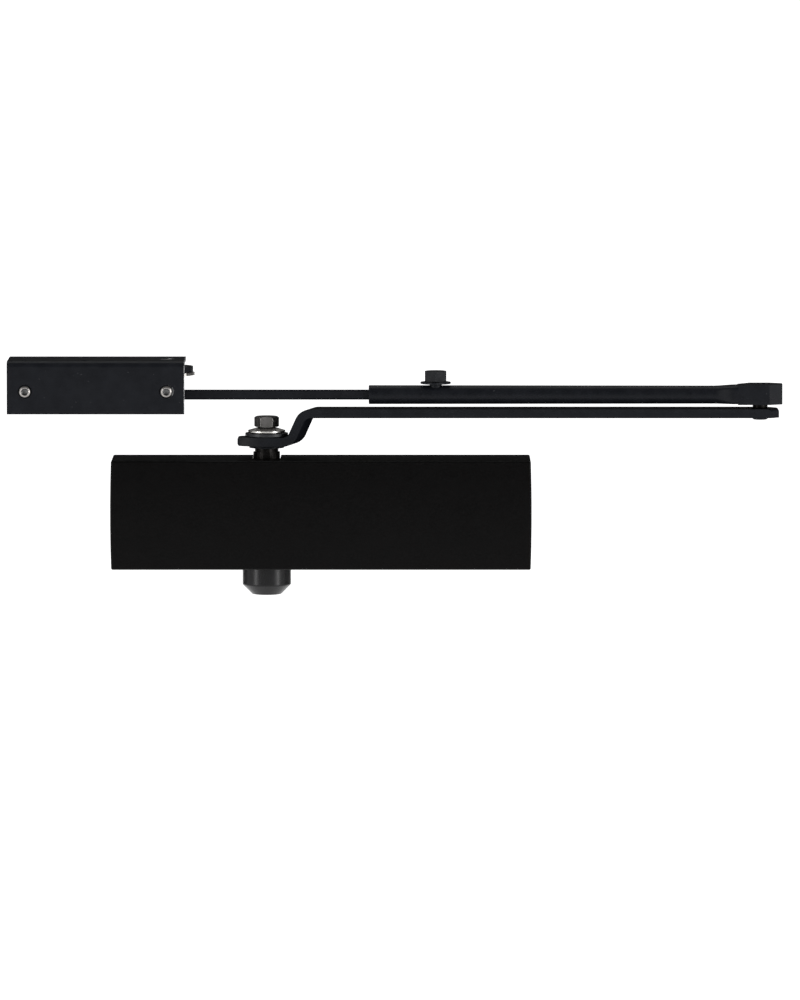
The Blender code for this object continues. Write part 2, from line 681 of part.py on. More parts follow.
def piston_span():
    """The piston's ends at rest, and the ends of its window for the pinion."""
    reach = GEAR_TIP + WINDOW_ROOM
    window = (-PISTON_TRAVEL - reach, reach)
    return window[0] - PISTON_LEFT_HEAD, window, window[1] + PISTON_RIGHT_HEAD


def rack_outline(window, back):
    """Rack teeth along X whose pitch line touches the pinion's pitch circle. A space faces X = 0."""
    pitch = math.pi * MODULE
    slope = math.tan(PRESSURE_ANGLE)
    tip = PITCH_RADIUS - MODULE
    root = PITCH_RADIUS + DEDENDUM
    half = pitch / 4 - BACKLASH / 4
    half_tip = half - MODULE * slope
    half_root = half + DEDENDUM * slope
    first = math.ceil((window[0] + half_root) / pitch - 0.5)
    last = math.floor((window[1] - half_root) / pitch - 0.5)
    points = [(window[1] + 1 * MM, back), (window[0] - 1 * MM, back), (window[0] - 1 * MM, root)]
    for tooth in range(first, last + 1):
        middle = (tooth + 0.5) * pitch
        points += [
            (middle - half_root, root),
            (middle - half_tip, tip),
            (middle + half_tip, tip),
            (middle + half_root, root),
        ]
    return points + [(window[1] + 1 * MM, root)]


def make_piston():
    left, window, right = piston_span()
    axis = joint_axis("piston_axis", (0, -SPINDLE_BACK, 0))
    piston = turned("piston", rod_profile((PISTON_RADIUS, left, right)), "steel", axis, axis="X")
    opening = box(
        "piston_window",
        (window[0], -GEAR_TIP - 2 * GAP, -BORE_RADIUS - THROUGH),
        (window[1], PITCH_RADIUS + DEDENDUM, BORE_RADIUS + THROUGH),
        parent=axis,
    )
    # The teeth reach a little into the wall behind them, so that the union is one body.
    back = PITCH_RADIUS + DEDENDUM + 0.8 * MM
    half_width = min(GEAR_NECK - GAP, math.sqrt(PISTON_RADIUS**2 - back**2) - 0.4 * MM)
    rack = prism("rack", rack_outline(window, back), -half_width, half_width, parent=axis)
    cut(piston, opening)
    join(piston, rack)
    seat = left + CHECK_BORE_DEPTH
    valve_bore = turned(
        "check_valve_bore",
        rod_profile((CHECK_BORE_RADIUS, left - THROUGH, seat), (CHECK_PORT_RADIUS, seat, window[0] + 2 * MM)),
        parent=axis,
        steps=SMALL_ROUND,
        axis="X",
    )
    spring_pocket = turned(
        "spring_pocket",
        rod_profile((SPRING_POCKET_RADIUS, right - SPRING_POCKET_DEPTH, right + THROUGH)),
        parent=axis,
        axis="X",
    )
    cut(piston, valve_bore, spring_pocket)

    ball_centre = seat - GAP - BALL_RADIUS
    ball = [(BALL_RADIUS * math.cos(a), ball_centre + BALL_RADIUS * math.sin(a)) for a in half_circle(10)]
    ball[0], ball[-1] = (0, ball[0][1]), (0, ball[-1][1])
    turned("check_valve_ball", ball, "steel", axis, SMALL_ROUND, "X")
    retainer_start, retainer_end = left + 1 * MM, ball_centre - BALL_RADIUS - GAP
    retainer = ring_profile(1.6 * MM, CHECK_BORE_RADIUS - LOOSE, retainer_start, retainer_end)
    turned("check_valve_retainer", retainer, "brass", axis, SMALL_ROUND, "X")


def half_circle(steps):
    return [math.radians(-90 + 180 * i / steps) for i in range(steps + 1)]


def make_closing_springs():
    _, _, right = piston_span()
    start = right - SPRING_POCKET_DEPTH + GAP
    end = CASING_RIGHT - PLUG_DEPTH - PLUG_NOSE - GAP
    centre = (-SPINDLE_BACK, 0)
    outer = SPRING_POCKET_RADIUS - 0.4 * MM - OUTER_SPRING_WIRE
    inner = outer - OUTER_SPRING_WIRE - 1.4 * MM - INNER_SPRING_WIRE
    coil("outer_closing_spring", outer, OUTER_SPRING_WIRE, start, end, 9, None, centre, 12)
    coil("inner_closing_spring", inner, INNER_SPRING_WIRE, start, end, 12, None, centre, 9)


# ---------------------------------------------------------------- spindle stack and main arm


def crank_run():
    """How far along the arm the crank takes, from the first bend's start to the second one's end."""
    bends = 2 * CRANK_BEND * (1 - math.cos(CRANK_ANGLE))
    return 2 * CRANK_BEND * math.sin(CRANK_ANGLE) + (ARM_RISE - bends) / math.tan(CRANK_ANGLE)


def arm_path(skew):
    """The arm's centre line seen from the front, as (along, height, slope). skew shifts the crank."""
    low = ARM_BOTTOM + ARM_THICKNESS / 2
    start = CRANK_MIDDLE + skew - crank_run() / 2
    steps = 6
    first, second = [], []
    for i in range(steps + 1):
        slope = CRANK_ANGLE * i / steps
        along, rise = CRANK_BEND * math.sin(slope), CRANK_BEND * (1 - math.cos(slope))
        first.append((start + along, low + rise, slope))
        second.append((start + crank_run() - along, low + ARM_RISE - rise, slope))
    end = ARM_REACH + ARM_END_MARGIN
    return [(-EYE_TIP, low, 0.0), *first, *reversed(second), (end, low + ARM_RISE, 0.0)]


def arm_strip():
    """The cranked bar: sections across it, whose front and rear edges bend at slightly different places."""
    bm = bmesh.new()
    sections = []
    half = ARM_THICKNESS / 2
    for front, rear in zip(arm_path(0), arm_path(CRANK_SKEW)):
        section = []
        for (x, z, tilt), y in ((front, -EYE_HALF_WIDTH), (rear, EYE_HALF_WIDTH)):
            across = (-math.sin(tilt) * half, math.cos(tilt) * half)
            pair = [(x - across[0], y, z - across[1]), (x + across[0], y, z + across[1])]
            section += pair if y < 0 else pair[::-1]
        sections.append([bm.verts.new(point) for point in section])
    for first, second in zip(sections, sections[1:]):
        for k in range(4):
            m = (k + 1) % 4
            bm.faces.new((first[k], first[m], second[m], second[k]))
    bm.faces.new(sections[0])
    bm.faces.new(sections[-1][::-1])
    return bm


def arm_plan():
    """The arm's outline from above: a clipped eye, a slight taper to the bar and a clipped elbow end."""
    eye, width = EYE_HALF_WIDTH, ARM_WIDTH / 2
    end = ARM_REACH + ARM_END_MARGIN
    upper = [
        (end, width - END_CLIP),
        (end - END_CLIP, width),
        (CRANK_MIDDLE + crank_run(), width),
        (CRANK_MIDDLE - crank_run() / 2, eye),
        (-EYE_TIP + EYE_CLIP[0], eye),
        (-EYE_TIP, eye - EYE_CLIP[1]),
    ]
    return upper + [(x, -y) for x, y in reversed(upper)]


def drive_hole():
    return flatted(SHAFT_RADIUS + SLIP, SHAFT_FLAT + SLIP)


def make_main_arm(axis):
    arm = mesh_object("main_arm", arm_strip(), "black_paint", axis)
    low, high = ARM_BOTTOM - THROUGH, ARM_TOP + THROUGH
    plan = prism("arm_plan", arm_plan(), low, high, parent=axis)
    boolean(arm, [plan], "INTERSECT")
    drive = prism("arm_drive_hole", drive_hole(), low, high, parent=axis)
    pin_hole = turned(
        "arm_pin_hole",
        rod_profile((ELBOW_PIN_RADIUS + SLIP, low, high)),
        parent=axis,
        steps=SMALL_ROUND,
        centre=(ARM_REACH, 0, 0),
    )
    cut(arm, drive, pin_hole)


def hex_bolt(name, bottom, shank_radius, shank_length, start_angle, finish, parent, steps=SMALL_ROUND):
    """A hexagon-headed bolt standing on bottom. Its corners are turned off at the top of the head."""
    corner = HEX_ACROSS_FLATS / math.sqrt(3)
    outline = hex_outline(HEX_ACROSS_FLATS, start_angle)
    head = prism(name, outline, bottom, bottom + HEX_HEIGHT, finish, parent)
    cone = turned(
        name + "_chamfer",
        [
            (0, bottom - 1 * MM),
            (corner + 1 * MM, bottom - 1 * MM),
            (corner + 1 * MM, bottom + HEX_HEIGHT - HEX_CHAMFER),
            (HEX_ACROSS_FLATS / 2 - 0.3 * MM, bottom + HEX_HEIGHT),
            (0, bottom + HEX_HEIGHT),
        ],
        parent=parent,
    )
    boolean(head, [cone], "INTERSECT")
    shank = turned(
        name + "_shank",
        rod_profile((shank_radius, bottom - shank_length, bottom + 1 * MM)),
        parent=parent,
        steps=steps,
    )
    join(head, shank)
    return head


def make_spindle_stack(axis):
    hole = BOLT_SHANK_RADIUS + 0.3 * MM
    disc = prism(
        "shoulder_disc", circle(DISC_RADIUS), DISC_BOTTOM, DISC_BOTTOM + DISC_THICKNESS, "black_paint", axis
    )
    cut(disc, prism("disc_drive_hole", drive_hole(), DISC_BOTTOM - THROUGH, ARM_SEAT, parent=axis))
    washer_bottom = ARM_SEAT + GAP
    washer_top = washer_bottom + FLAT_WASHER_THICKNESS
    washer = ring_profile(hole, FLAT_WASHER_RADIUS, washer_bottom, washer_top)
    turned("arm_flat_washer", washer, "black_paint", axis)
    rim = washer_top + GAP
    inner = hole + 0.1 * MM
    dished = [
        (inner, rim + SPRING_WASHER_DISH),
        (SPRING_WASHER_RADIUS, rim),
        (SPRING_WASHER_RADIUS, rim + SPRING_WASHER_THICKNESS),
        (inner, rim + SPRING_WASHER_DISH + SPRING_WASHER_THICKNESS),
    ]
    turned("arm_spring_washer", dished, "zinc", axis)
    head_bottom = rim + SPRING_WASHER_DISH + SPRING_WASHER_THICKNESS + 0.1 * MM
    shank = head_bottom - ARM_SEAT + BOLT_LENGTH
    hex_bolt("arm_bolt", head_bottom, BOLT_SHANK_RADIUS, shank, 0, "zinc", axis)


def make_pinion_cap():
    axis = joint_axis("pinion_cap_axis", (0, -SPINDLE_BACK, 0))
    inner = CAP_RADIUS - CAP_WALL
    profile = [
        (0, CAP_BOTTOM),
        (CAP_RADIUS - CAP_CHAMFER, CAP_BOTTOM),
        (CAP_RADIUS, CAP_BOTTOM + CAP_CHAMFER),
        (CAP_RADIUS, CAP_TOP),
        (inner, CAP_TOP),
        (inner, CAP_BOTTOM + CAP_CHAMFER + 0.6 * MM),
        (inner - CAP_CHAMFER + 1.2 * MM, CAP_BOTTOM + CAP_WALL),
        (0, CAP_BOTTOM + CAP_WALL),
    ]
    turned("pinion_cap", profile, "black_plastic", axis, 32)


# ---------------------------------------------------------------- front cover


def cover_section(inset, back):
    """The cover's section across its length: flat top and bottom, and a gently bowed front."""
    half = COVER_HALF_HEIGHT - inset
    front = -COVER_DEPTH + inset
    edge = COVER_EDGE - min(inset, COVER_EDGE / 2)
    steps = 6
    bowed = []
    for i in range(steps + 1):
        t = 1 - 2 * i / steps
        bowed.append((front + COVER_BOW * t * t, t * (half - edge)))
    rim = front + COVER_BOW + edge
    return [(back, half), (rim, half), *bowed, (rim, -half), (back, -half)]


def make_front_cover():
    axis = joint_axis("cover_axis", (0, 0, 0))
    cover = prism(
        "front_cover", cover_section(0, COVER_BACK), COVER_LEFT, COVER_RIGHT, "black_cover", axis, "YZ"
    )
    hollow = prism(
        "cover_hollow",
        cover_section(COVER_WALL, THROUGH),
        COVER_LEFT + COVER_WALL,
        COVER_RIGHT - COVER_WALL,
        parent=axis,
        plane="YZ",
    )
    cut(cover, hollow)
    inner, outer = COVER_HALF_HEIGHT - COVER_WALL - THROUGH, COVER_HALF_HEIGHT + THROUGH
    for name, width, low, high in (
        ("upper", NUT_NECK_RADIUS + NOTCH_ROOM, inner, outer),
        ("lower", NUT_RIM_RADIUS + NOTCH_ROOM, -outer, -inner),
    ):
        outline = arc((0, -SPINDLE_BACK), width, 180, 360, 16) + [(width, THROUGH), (-width, THROUGH)]
        cut(cover, prism(name + "_notch", outline, low, high, parent=axis))


# ---------------------------------------------------------------- elbow and forearm


def make_elbow(axis):
    hole = ELBOW_PIN_RADIUS + SLIP
    turned(
        "elbow_spacer",
        ring_profile(hole, ELBOW_HEAD_RADIUS, ARM_TOP + SLIP, BLOCK_BOTTOM - SLIP),
        "steel",
        axis,
        SMALL_ROUND,
    )
    head_top, pin_top = ARM_TOP - ARM_THICKNESS - SLIP, BLOCK_BOTTOM + ELBOW_BLOCK_HEIGHT - LOOSE
    pin = rod_profile(
        (ELBOW_HEAD_RADIUS, head_top - ELBOW_HEAD_THICKNESS, head_top), (ELBOW_PIN_RADIUS, head_top, pin_top)
    )
    turned("elbow_pin", pin, "black_paint", axis, SMALL_ROUND)

    top = BLOCK_BOTTOM + ELBOW_BLOCK_HEIGHT
    half = ELBOW_BLOCK_WIDTH / 2
    outline = [
        (-ELBOW_BLOCK_BACK, -half),
        (0, -half),
        *arc((ELBOW_BLOCK_FRONT - half, 0), half, -90, 90, 12),
        (0, half),
        (-ELBOW_BLOCK_BACK, half),
    ]
    block = prism("forearm_end", outline, BLOCK_BOTTOM, top, "black_paint", axis)
    spigot = turned(
        "spigot",
        rod_profile((TUBE_BORE - LOOSE, -ELBOW_BLOCK_BACK - SPIGOT_LENGTH, -ELBOW_BLOCK_BACK + 3 * MM)),
        parent=axis,
        steps=SMALL_ROUND,
        axis="X",
        centre=(0, 0, FOREARM_HEIGHT),
    )
    join(block, spigot)
    through = rod_profile((hole, BLOCK_BOTTOM - THROUGH, top + THROUGH))
    cut(block, turned("block_pin_hole", through, parent=axis, steps=SMALL_ROUND))


def tube_ends():
    right = -ELBOW_BLOCK_BACK - GAP
    return right - TUBE_LENGTH, right


def make_forearm(axis):
    left, right = tube_ends()
    profile = [(TUBE_BORE, left), (TUBE_RADIUS, left), (TUBE_RADIUS - TUBE_TAPER, right), (TUBE_BORE, right)]
    centre = (0, 0, FOREARM_HEIGHT)
    tube = turned("forearm_tube", profile, "black_paint", axis, 24, "X", centre)
    hole = turned(
        "clamp_hole",
        rod_profile((CLAMP_SHANK_RADIUS + LOOSE, FOREARM_HEIGHT, FOREARM_HEIGHT + TUBE_RADIUS + THROUGH)),
        parent=axis,
        steps=SMALL_ROUND,
        centre=(left + CLAMP_INSET, 0, 0),
    )
    cut(tube, hole)


def make_clamp_bolt(forearm_axis):
    left, _ = tube_ends()
    axis = joint_axis("clamp_bolt_axis", (left + CLAMP_INSET, 0, 0), forearm_axis)
    washer_bottom = FOREARM_HEIGHT + TUBE_RADIUS + CLAMP_WASHER_STAND
    washer_top = washer_bottom + CLAMP_WASHER_THICKNESS
    turned(
        "clamp_washer",
        ring_profile(CLAMP_SHANK_RADIUS + SLIP, CLAMP_WASHER_RADIUS, washer_bottom, washer_top),
        "black_paint",
        axis,
    )
    tip = ROD_TOP + LOOSE
    head_bottom = washer_top + SLIP
    hex_bolt(
        "clamp_bolt", head_bottom, CLAMP_SHANK_RADIUS, head_bottom - tip, 90, "black_paint", axis, ROUND
    )


# ---------------------------------------------------------------- adjusting rod and cam


def cam_outline():
    """A round cam with one rounded notch, where the hold-open roller drops in."""
    points = []
    steps = 48
    for i in range(steps):
        angle = 2 * math.pi * i / steps
        away = abs((angle - NOTCH_ANGLE + math.pi) % (2 * math.pi) - math.pi)
        share = min(away / NOTCH_HALF_ANGLE, 1)
        dip = NOTCH_DEPTH * (1 + math.cos(math.pi * share)) / 2
        points.append(((CAM_RADIUS - dip) * math.cos(angle), (CAM_RADIUS - dip) * math.sin(angle)))
    return points


def make_rod(axis):
    half, edge = ROD_SIDE / 2, ROD_SIDE / 2 - ROD_CHAMFER
    section = [(edge, -half), (half, -edge), (half, edge), (edge, half)]
    section += [(-a, -b) for a, b in section]
    section = [(a, b + FOREARM_HEIGHT) for a, b in section]
    left, _ = tube_ends()
    end = PIVOT_REACH + left + ROD_IN_TUBE
    rod = prism("adjusting_rod", section, PIVOT_PIN_RADIUS, end, "black_paint", axis, "YZ")
    hub_top = ROD_TOP + HUB_HEIGHT
    eye_and_hub = rod_profile((ROD_EYE_RADIUS, ROD_BOTTOM, ROD_TOP), (HUB_RADIUS, ROD_TOP, hub_top))
    eye = turned("rod_eye", eye_and_hub, parent=axis)
    key = prism("rod_key", flatted(KEY_RADIUS, KEY_FLAT), hub_top - 2 * MM, CAM_TOP, parent=axis)
    join(rod, eye, key)
    pivot_hole = rod_profile((PIVOT_PIN_RADIUS + SLIP, ROD_BOTTOM - THROUGH, CAM_TOP + THROUGH))
    cut(rod, turned("rod_pivot_hole", pivot_hole, parent=axis))

    washer_top = CAM_WASHER_BOTTOM + CAM_WASHER_THICKNESS
    washer = prism("cam_washer", circle(CAM_WASHER_RADIUS), CAM_WASHER_BOTTOM, washer_top, "zinc", axis)
    cam = prism("hold_open_cam", cam_outline(), CAM_BOTTOM, CAM_TOP, "black_paint", axis)
    key_hole = flatted(KEY_RADIUS + SLIP, KEY_FLAT + SLIP)
    for obj in (washer, cam):
        cut(obj, prism(obj.name + "_key_hole", key_hole, hub_top, CAM_TOP + THROUGH, parent=axis))


# ---------------------------------------------------------------- hold-open bracket


def housing_outline():
    """The bracket's section: a soffit plate folded down into the front panel."""
    front, back, top, bottom = -BRACKET_HALF_DEPTH, BRACKET_HALF_DEPTH, BRACKET_TOP, BRACKET_BOTTOM
    centre = (front + SHEET_BEND, top - SHEET_BEND)
    outer = arc(centre, SHEET_BEND, 90, 180, 6)
    inner = arc(centre, SHEET_BEND - SHEET, 180, 90, 6)
    return [(back, top), *outer, (front, bottom), (front + SHEET, bottom), *inner, (back, top - SHEET)]


def make_bracket(axis):
    housing = prism(
        "bracket_housing", housing_outline(), BRACKET_LEFT, BRACKET_RIGHT, "black_paint", axis, "YZ"
    )
    plate = (BRACKET_TOP - SHEET - 1 * MM, BRACKET_TOP + THROUGH)
    for i, along in enumerate(SOFFIT_HOLES):
        for side in (-1, 1):
            hole = turned(
                f"soffit_hole_{i}_{side}",
                rod_profile((SOFFIT_HOLE_RADIUS, *plate)),
                parent=axis,
                steps=SMALL_ROUND,
                centre=(along, side * SOFFIT_HOLE_OFFSET, 0),
            )
            cut(housing, hole)
    pivot_hole = PIVOT_PIN_RADIUS + LOOSE
    cut(housing, turned("housing_pivot_hole", rod_profile((pivot_hole, *plate)), parent=axis))
    frame = make_hold_open_frame(axis, pivot_hole)
    make_rivets(axis, housing, frame)

    pin = rod_profile(
        (PIVOT_HEAD_RADIUS, BRACKET_BOTTOM + GAP, FRAME_FOOT - GAP),
        (PIVOT_PIN_RADIUS, FRAME_FOOT - GAP, BRACKET_TOP - GAP),
    )
    turned("pivot_pin", pin, "steel", axis)
    washer_ends = (FRAME_FOOT + FRAME_SHEET + GAP, ROD_BOTTOM - GAP)
    turned("pivot_washer", ring_profile(pivot_hole, HUB_RADIUS - 1 * MM, *washer_ends), "bronze", axis)
    make_plunger_guide(axis)


def make_hold_open_frame(axis, pivot_hole):
    """The inner frame: a wall behind the front panel, a foot under the pivot and a shelf under the guide."""
    wall_front = -BRACKET_HALF_DEPTH + SHEET + GAP
    wall_back = wall_front + FRAME_SHEET
    frame = box(
        "hold_open_frame",
        (FRAME_LEFT, wall_front, FRAME_FOOT),
        (FRAME_RIGHT, wall_back, SHELF_TOP),
        "steel",
        axis,
    )
    foot = box(
        "frame_foot",
        (-2 * HUB_RADIUS, wall_front, FRAME_FOOT),
        (FRAME_RIGHT, HUB_RADIUS + 2 * MM, FRAME_FOOT + FRAME_SHEET),
        parent=axis,
    )
    shelf = box(
        "frame_shelf",
        (FRAME_LEFT, wall_front, SHELF_TOP - FRAME_SHEET),
        (SHELF_RIGHT, GUIDE_HALF_WIDTH + LOOSE, SHELF_TOP),
        parent=axis,
    )
    join(frame, foot, shelf)
    foot_hole = rod_profile((pivot_hole, FRAME_FOOT - THROUGH, FRAME_FOOT + FRAME_SHEET + 1 * MM))
    cut(frame, turned("foot_pivot_hole", foot_hole, parent=axis))
    for i, along in enumerate(SOFFIT_HOLES):
        access = turned(
            f"screwdriver_hole_{i}",
            rod_profile((ACCESS_RADIUS, SHELF_TOP - FRAME_SHEET - THROUGH, SHELF_TOP + THROUGH)),
            parent=axis,
            steps=SMALL_ROUND,
            centre=(along, wall_back + ACCESS_RADIUS - 0.6 * MM, 0),
        )
        cut(frame, access)
    return frame


def make_rivets(axis, housing, frame):
    face = -BRACKET_HALF_DEPTH
    stack = SHEET + FRAME_SHEET
    for side, along in RIVET_POSITIONS.items():
        hole_profile = rod_profile((RIVET_SHANK_RADIUS + LOOSE, -THROUGH, stack + GAP + 2 * MM))
        for obj in (housing, frame):
            tool = turned(
                f"{obj.name}_rivet_hole_{side}",
                hole_profile,
                parent=axis,
                steps=SMALL_ROUND,
                axis="Y",
                centre=(along, face, RIVET_HEIGHT),
            )
            cut(obj, tool)
        rivet = [
            (0, -0.7 * MM),
            (1.2 * MM, -0.7 * MM),
            (1.5 * MM, -1.4 * MM),
            (2.4 * MM, -1.4 * MM),
            (RIVET_HEAD_RADIUS, -0.9 * MM),
            (RIVET_HEAD_RADIUS, -0.2 * MM),
            (RIVET_SHANK_RADIUS, -0.2 * MM),
            (RIVET_SHANK_RADIUS, stack + 2 * GAP),
            (RIVET_SHANK_RADIUS + 1 * MM, stack + 2 * GAP),
            (RIVET_SHANK_RADIUS + 0.6 * MM, stack + GAP + RIVET_TAIL),
            (0, stack + GAP + RIVET_TAIL),
        ]
        turned(f"bracket_rivet_{side}", rivet, "zinc", axis, SMALL_ROUND, "Y", (along, face, RIVET_HEIGHT))


def make_plunger_guide(axis):
    """The channel under the soffit plate that the plunger slides in, closed at its left end."""
    inner, outer = PLUNGER_HALF_WIDTH + GAP, GUIDE_HALF_WIDTH
    left, right, bottom = FRAME_LEFT, ROLLER_PLACE - GUIDE_MOUTH, SHELF_TOP + GAP
    guide = box("plunger_guide", (left, -outer, bottom), (right, outer, GUIDE_TOP), "steel", axis)
    channel = box(
        "guide_channel",
        (left + GUIDE_END, -inner, bottom + GUIDE_FLOOR),
        (0, inner, GUIDE_TOP + THROUGH),
        parent=axis,
    )
    hole = turned(
        "adjuster_hole",
        rod_profile((ADJUSTER_RADIUS + SLIP, left - THROUGH, left + GUIDE_END + THROUGH)),
        parent=axis,
        steps=SMALL_ROUND,
        axis="X",
        centre=(0, 0, PLUNGER_HEIGHT),
    )
    cut(guide, channel, hole)
    adjuster_axis = joint_axis("adjuster_axis", (left, 0, PLUNGER_HEIGHT), axis)
    screw_end = ADJUSTER_LENGTH - ADJUSTER_SHOWING
    adjuster = turned(
        "hold_open_adjuster",
        rod_profile((ADJUSTER_RADIUS, -ADJUSTER_SHOWING, screw_end)),
        "steel",
        adjuster_axis,
        SMALL_ROUND,
        "X",
    )
    slot = box(
        "adjuster_slot",
        (-ADJUSTER_SHOWING - 1 * MM, -THROUGH, -0.4 * MM),
        (-ADJUSTER_SHOWING + 1 * MM, THROUGH, 0.4 * MM),
        parent=adjuster_axis,
    )
    cut(adjuster, slot)
    shoulder = ROLLER_PLACE - PLUNGER_LENGTH + STEM_LENGTH
    coil(
        "hold_open_spring",
        HOLD_SPRING_RADIUS,
        HOLD_SPRING_WIRE,
        left + screw_end + GAP,
        shoulder - GAP,
        8,
        axis,
        (0, PLUNGER_HEIGHT),
        8,
    )


def make_plunger(bracket_axis):
    """A fork that carries the roller, with a stem inside the spring."""
    axis = joint_axis("plunger_axis", (ROLLER_PLACE, 0, PLUNGER_HEIGHT), bracket_axis)
    half = PLUNGER_HALF_WIDTH
    low, high = GUIDE_FLOOR + 2 * GAP - PLUNGER_SEAT, GUIDE_TOP - PLUNGER_HEIGHT
    gap = ROLLER_HEIGHT / 2 + GAP
    shoulder = STEM_LENGTH - PLUNGER_LENGTH
    plunger = box("plunger", (shoulder, -half, low), (PLUNGER_NOSE, half, high), "steel", axis)
    throat = box(
        "plunger_throat",
        (-ROLLER_RADIUS - 2 * GAP, -half - THROUGH, -gap),
        (PLUNGER_NOSE + THROUGH, half + THROUGH, gap),
        parent=axis,
    )
    pin_hole = turned(
        "roller_pin_hole",
        rod_profile((ROLLER_PIN_RADIUS + SLIP, low - THROUGH, high + THROUGH)),
        parent=axis,
        steps=12,
    )
    stem = turned(
        "plunger_stem",
        rod_profile((STEM_RADIUS, -PLUNGER_LENGTH - 2 * MM, shoulder + 1 * MM)),
        parent=axis,
        steps=12,
        axis="X",
    )
    cut(plunger, throat, pin_hole)
    join(plunger, stem)
    turned(
        "roller_pin", rod_profile((ROLLER_PIN_RADIUS, low + LOOSE, high - LOOSE)), "steel", axis, 12
    )
    hole = ROLLER_PIN_RADIUS + SLIP
    roller = ring_profile(hole, ROLLER_RADIUS, -ROLLER_HEIGHT / 2, ROLLER_HEIGHT / 2)
    turned("hold_open_roller", roller, "steel", axis, ROUND)


def main():
    clear_scene()
    make_casing()
    make_end_plug("left", -1)
    make_end_plug("right", 1)
    make_bearings()
    make_valves()
    make_piston()
    make_closing_springs()
    make_front_cover()
    make_pinion_cap()

    spindle = joint_axis("spindle_axis", (0, -SPINDLE_BACK, 0))
    make_pinion(spindle)
    make_spindle_stack(spindle)
    make_main_arm(spindle)

    elbow = joint_axis("elbow_axis", (ARM_REACH, 0, 0), spindle)
    make_elbow(elbow)
    make_forearm(elbow)
    make_clamp_bolt(elbow)

    rod = joint_axis("rod_axis", (-PIVOT_REACH, 0, 0), elbow)
    make_rod(rod)
    bracket = joint_axis("bracket_axis", (0, 0, 0), rod)
    make_bracket(bracket)
    make_plunger(bracket)


main()
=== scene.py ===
"""The looks of the door closer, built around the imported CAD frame.

Metres, +X to the elbow, +Y into the door, +Z up.
"""

import json
import math

import bmesh
import bpy
from mathutils import Matrix, Vector


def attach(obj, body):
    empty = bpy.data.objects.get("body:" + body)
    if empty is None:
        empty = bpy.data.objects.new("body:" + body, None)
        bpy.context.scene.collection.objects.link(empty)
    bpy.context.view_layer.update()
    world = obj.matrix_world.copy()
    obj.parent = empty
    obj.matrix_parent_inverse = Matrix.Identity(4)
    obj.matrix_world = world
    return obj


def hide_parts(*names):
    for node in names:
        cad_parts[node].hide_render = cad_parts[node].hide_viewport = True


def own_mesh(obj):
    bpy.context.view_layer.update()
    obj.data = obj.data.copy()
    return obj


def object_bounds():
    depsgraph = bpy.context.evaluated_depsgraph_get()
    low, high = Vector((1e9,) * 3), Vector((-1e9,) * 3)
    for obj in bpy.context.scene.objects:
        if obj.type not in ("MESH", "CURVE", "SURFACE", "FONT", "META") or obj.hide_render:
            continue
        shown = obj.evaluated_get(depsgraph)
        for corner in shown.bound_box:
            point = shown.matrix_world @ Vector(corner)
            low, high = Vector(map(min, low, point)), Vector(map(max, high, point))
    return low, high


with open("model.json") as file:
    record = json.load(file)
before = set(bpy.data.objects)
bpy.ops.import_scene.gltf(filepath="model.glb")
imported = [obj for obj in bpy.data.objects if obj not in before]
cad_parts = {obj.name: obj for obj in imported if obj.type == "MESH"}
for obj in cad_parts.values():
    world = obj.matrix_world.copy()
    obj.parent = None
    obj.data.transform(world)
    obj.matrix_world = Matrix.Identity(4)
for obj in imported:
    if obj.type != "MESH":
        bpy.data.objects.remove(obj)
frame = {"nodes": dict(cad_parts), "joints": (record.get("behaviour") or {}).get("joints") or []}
cad_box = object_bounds()

MM = 0.001
JOINTS = {joint["name"]: joint for joint in frame["joints"]}

# Sizes that more than one piece shares.
THROUGH = 80 * MM  # how far a cutter reaches, well past what it cuts
HEAD_HEIGHT = 6 * MM  # of both hexagon heads
BOLT_HOLE = 4.3 * MM  # the radius in the washers under the arm's bolt
ELBOW_HOLE = 3.15 * MM  # the radius round the elbow pin
SPIGOT_RADIUS = 3.65 * MM  # the end block's stub inside the tube
TUBE_BORE = 3.85 * MM
DRIVE_RADIUS, DRIVE_FLAT = 6.7 * MM, 5.4 * MM  # the arm's hole over the spindle's four flats

# Limits of the mesh work.
WELD = 1e-7
SAME_PLACE = 1e-6
FLAT_ANGLE = math.radians(0.5)


# ---------------------------------------------------------------- places


def joint_place(name):
    """A joint's axis as a place, at the height of the row's origin."""
    x, y, _ = JOINTS[name]["pos_m"]
    return Matrix.Translation((x, y, 0))


AT_ORIGIN = Matrix.Identity(4)
AT_SPINDLE = joint_place("spindle_turn")
AT_ELBOW = joint_place("elbow_turn")
AT_CLAMP = joint_place("clamp_bolt_turn")
AT_ROD = joint_place("bracket_swing")
AT_BRACKET = AT_ROD  # the bracket swings about the cam on the rod's end


def extent(node, place=AT_ORIGIN):
    """A CAD node's lowest and highest corners in a place's own axes."""
    back = place.inverted()
    points = [back @ v.co for v in frame["nodes"][node].data.vertices]
    low = Vector([min(p[i] for p in points) for i in range(3)])
    high = Vector([max(p[i] for p in points) for i in range(3)])
    return low, high


# ---------------------------------------------------------------- material helpers


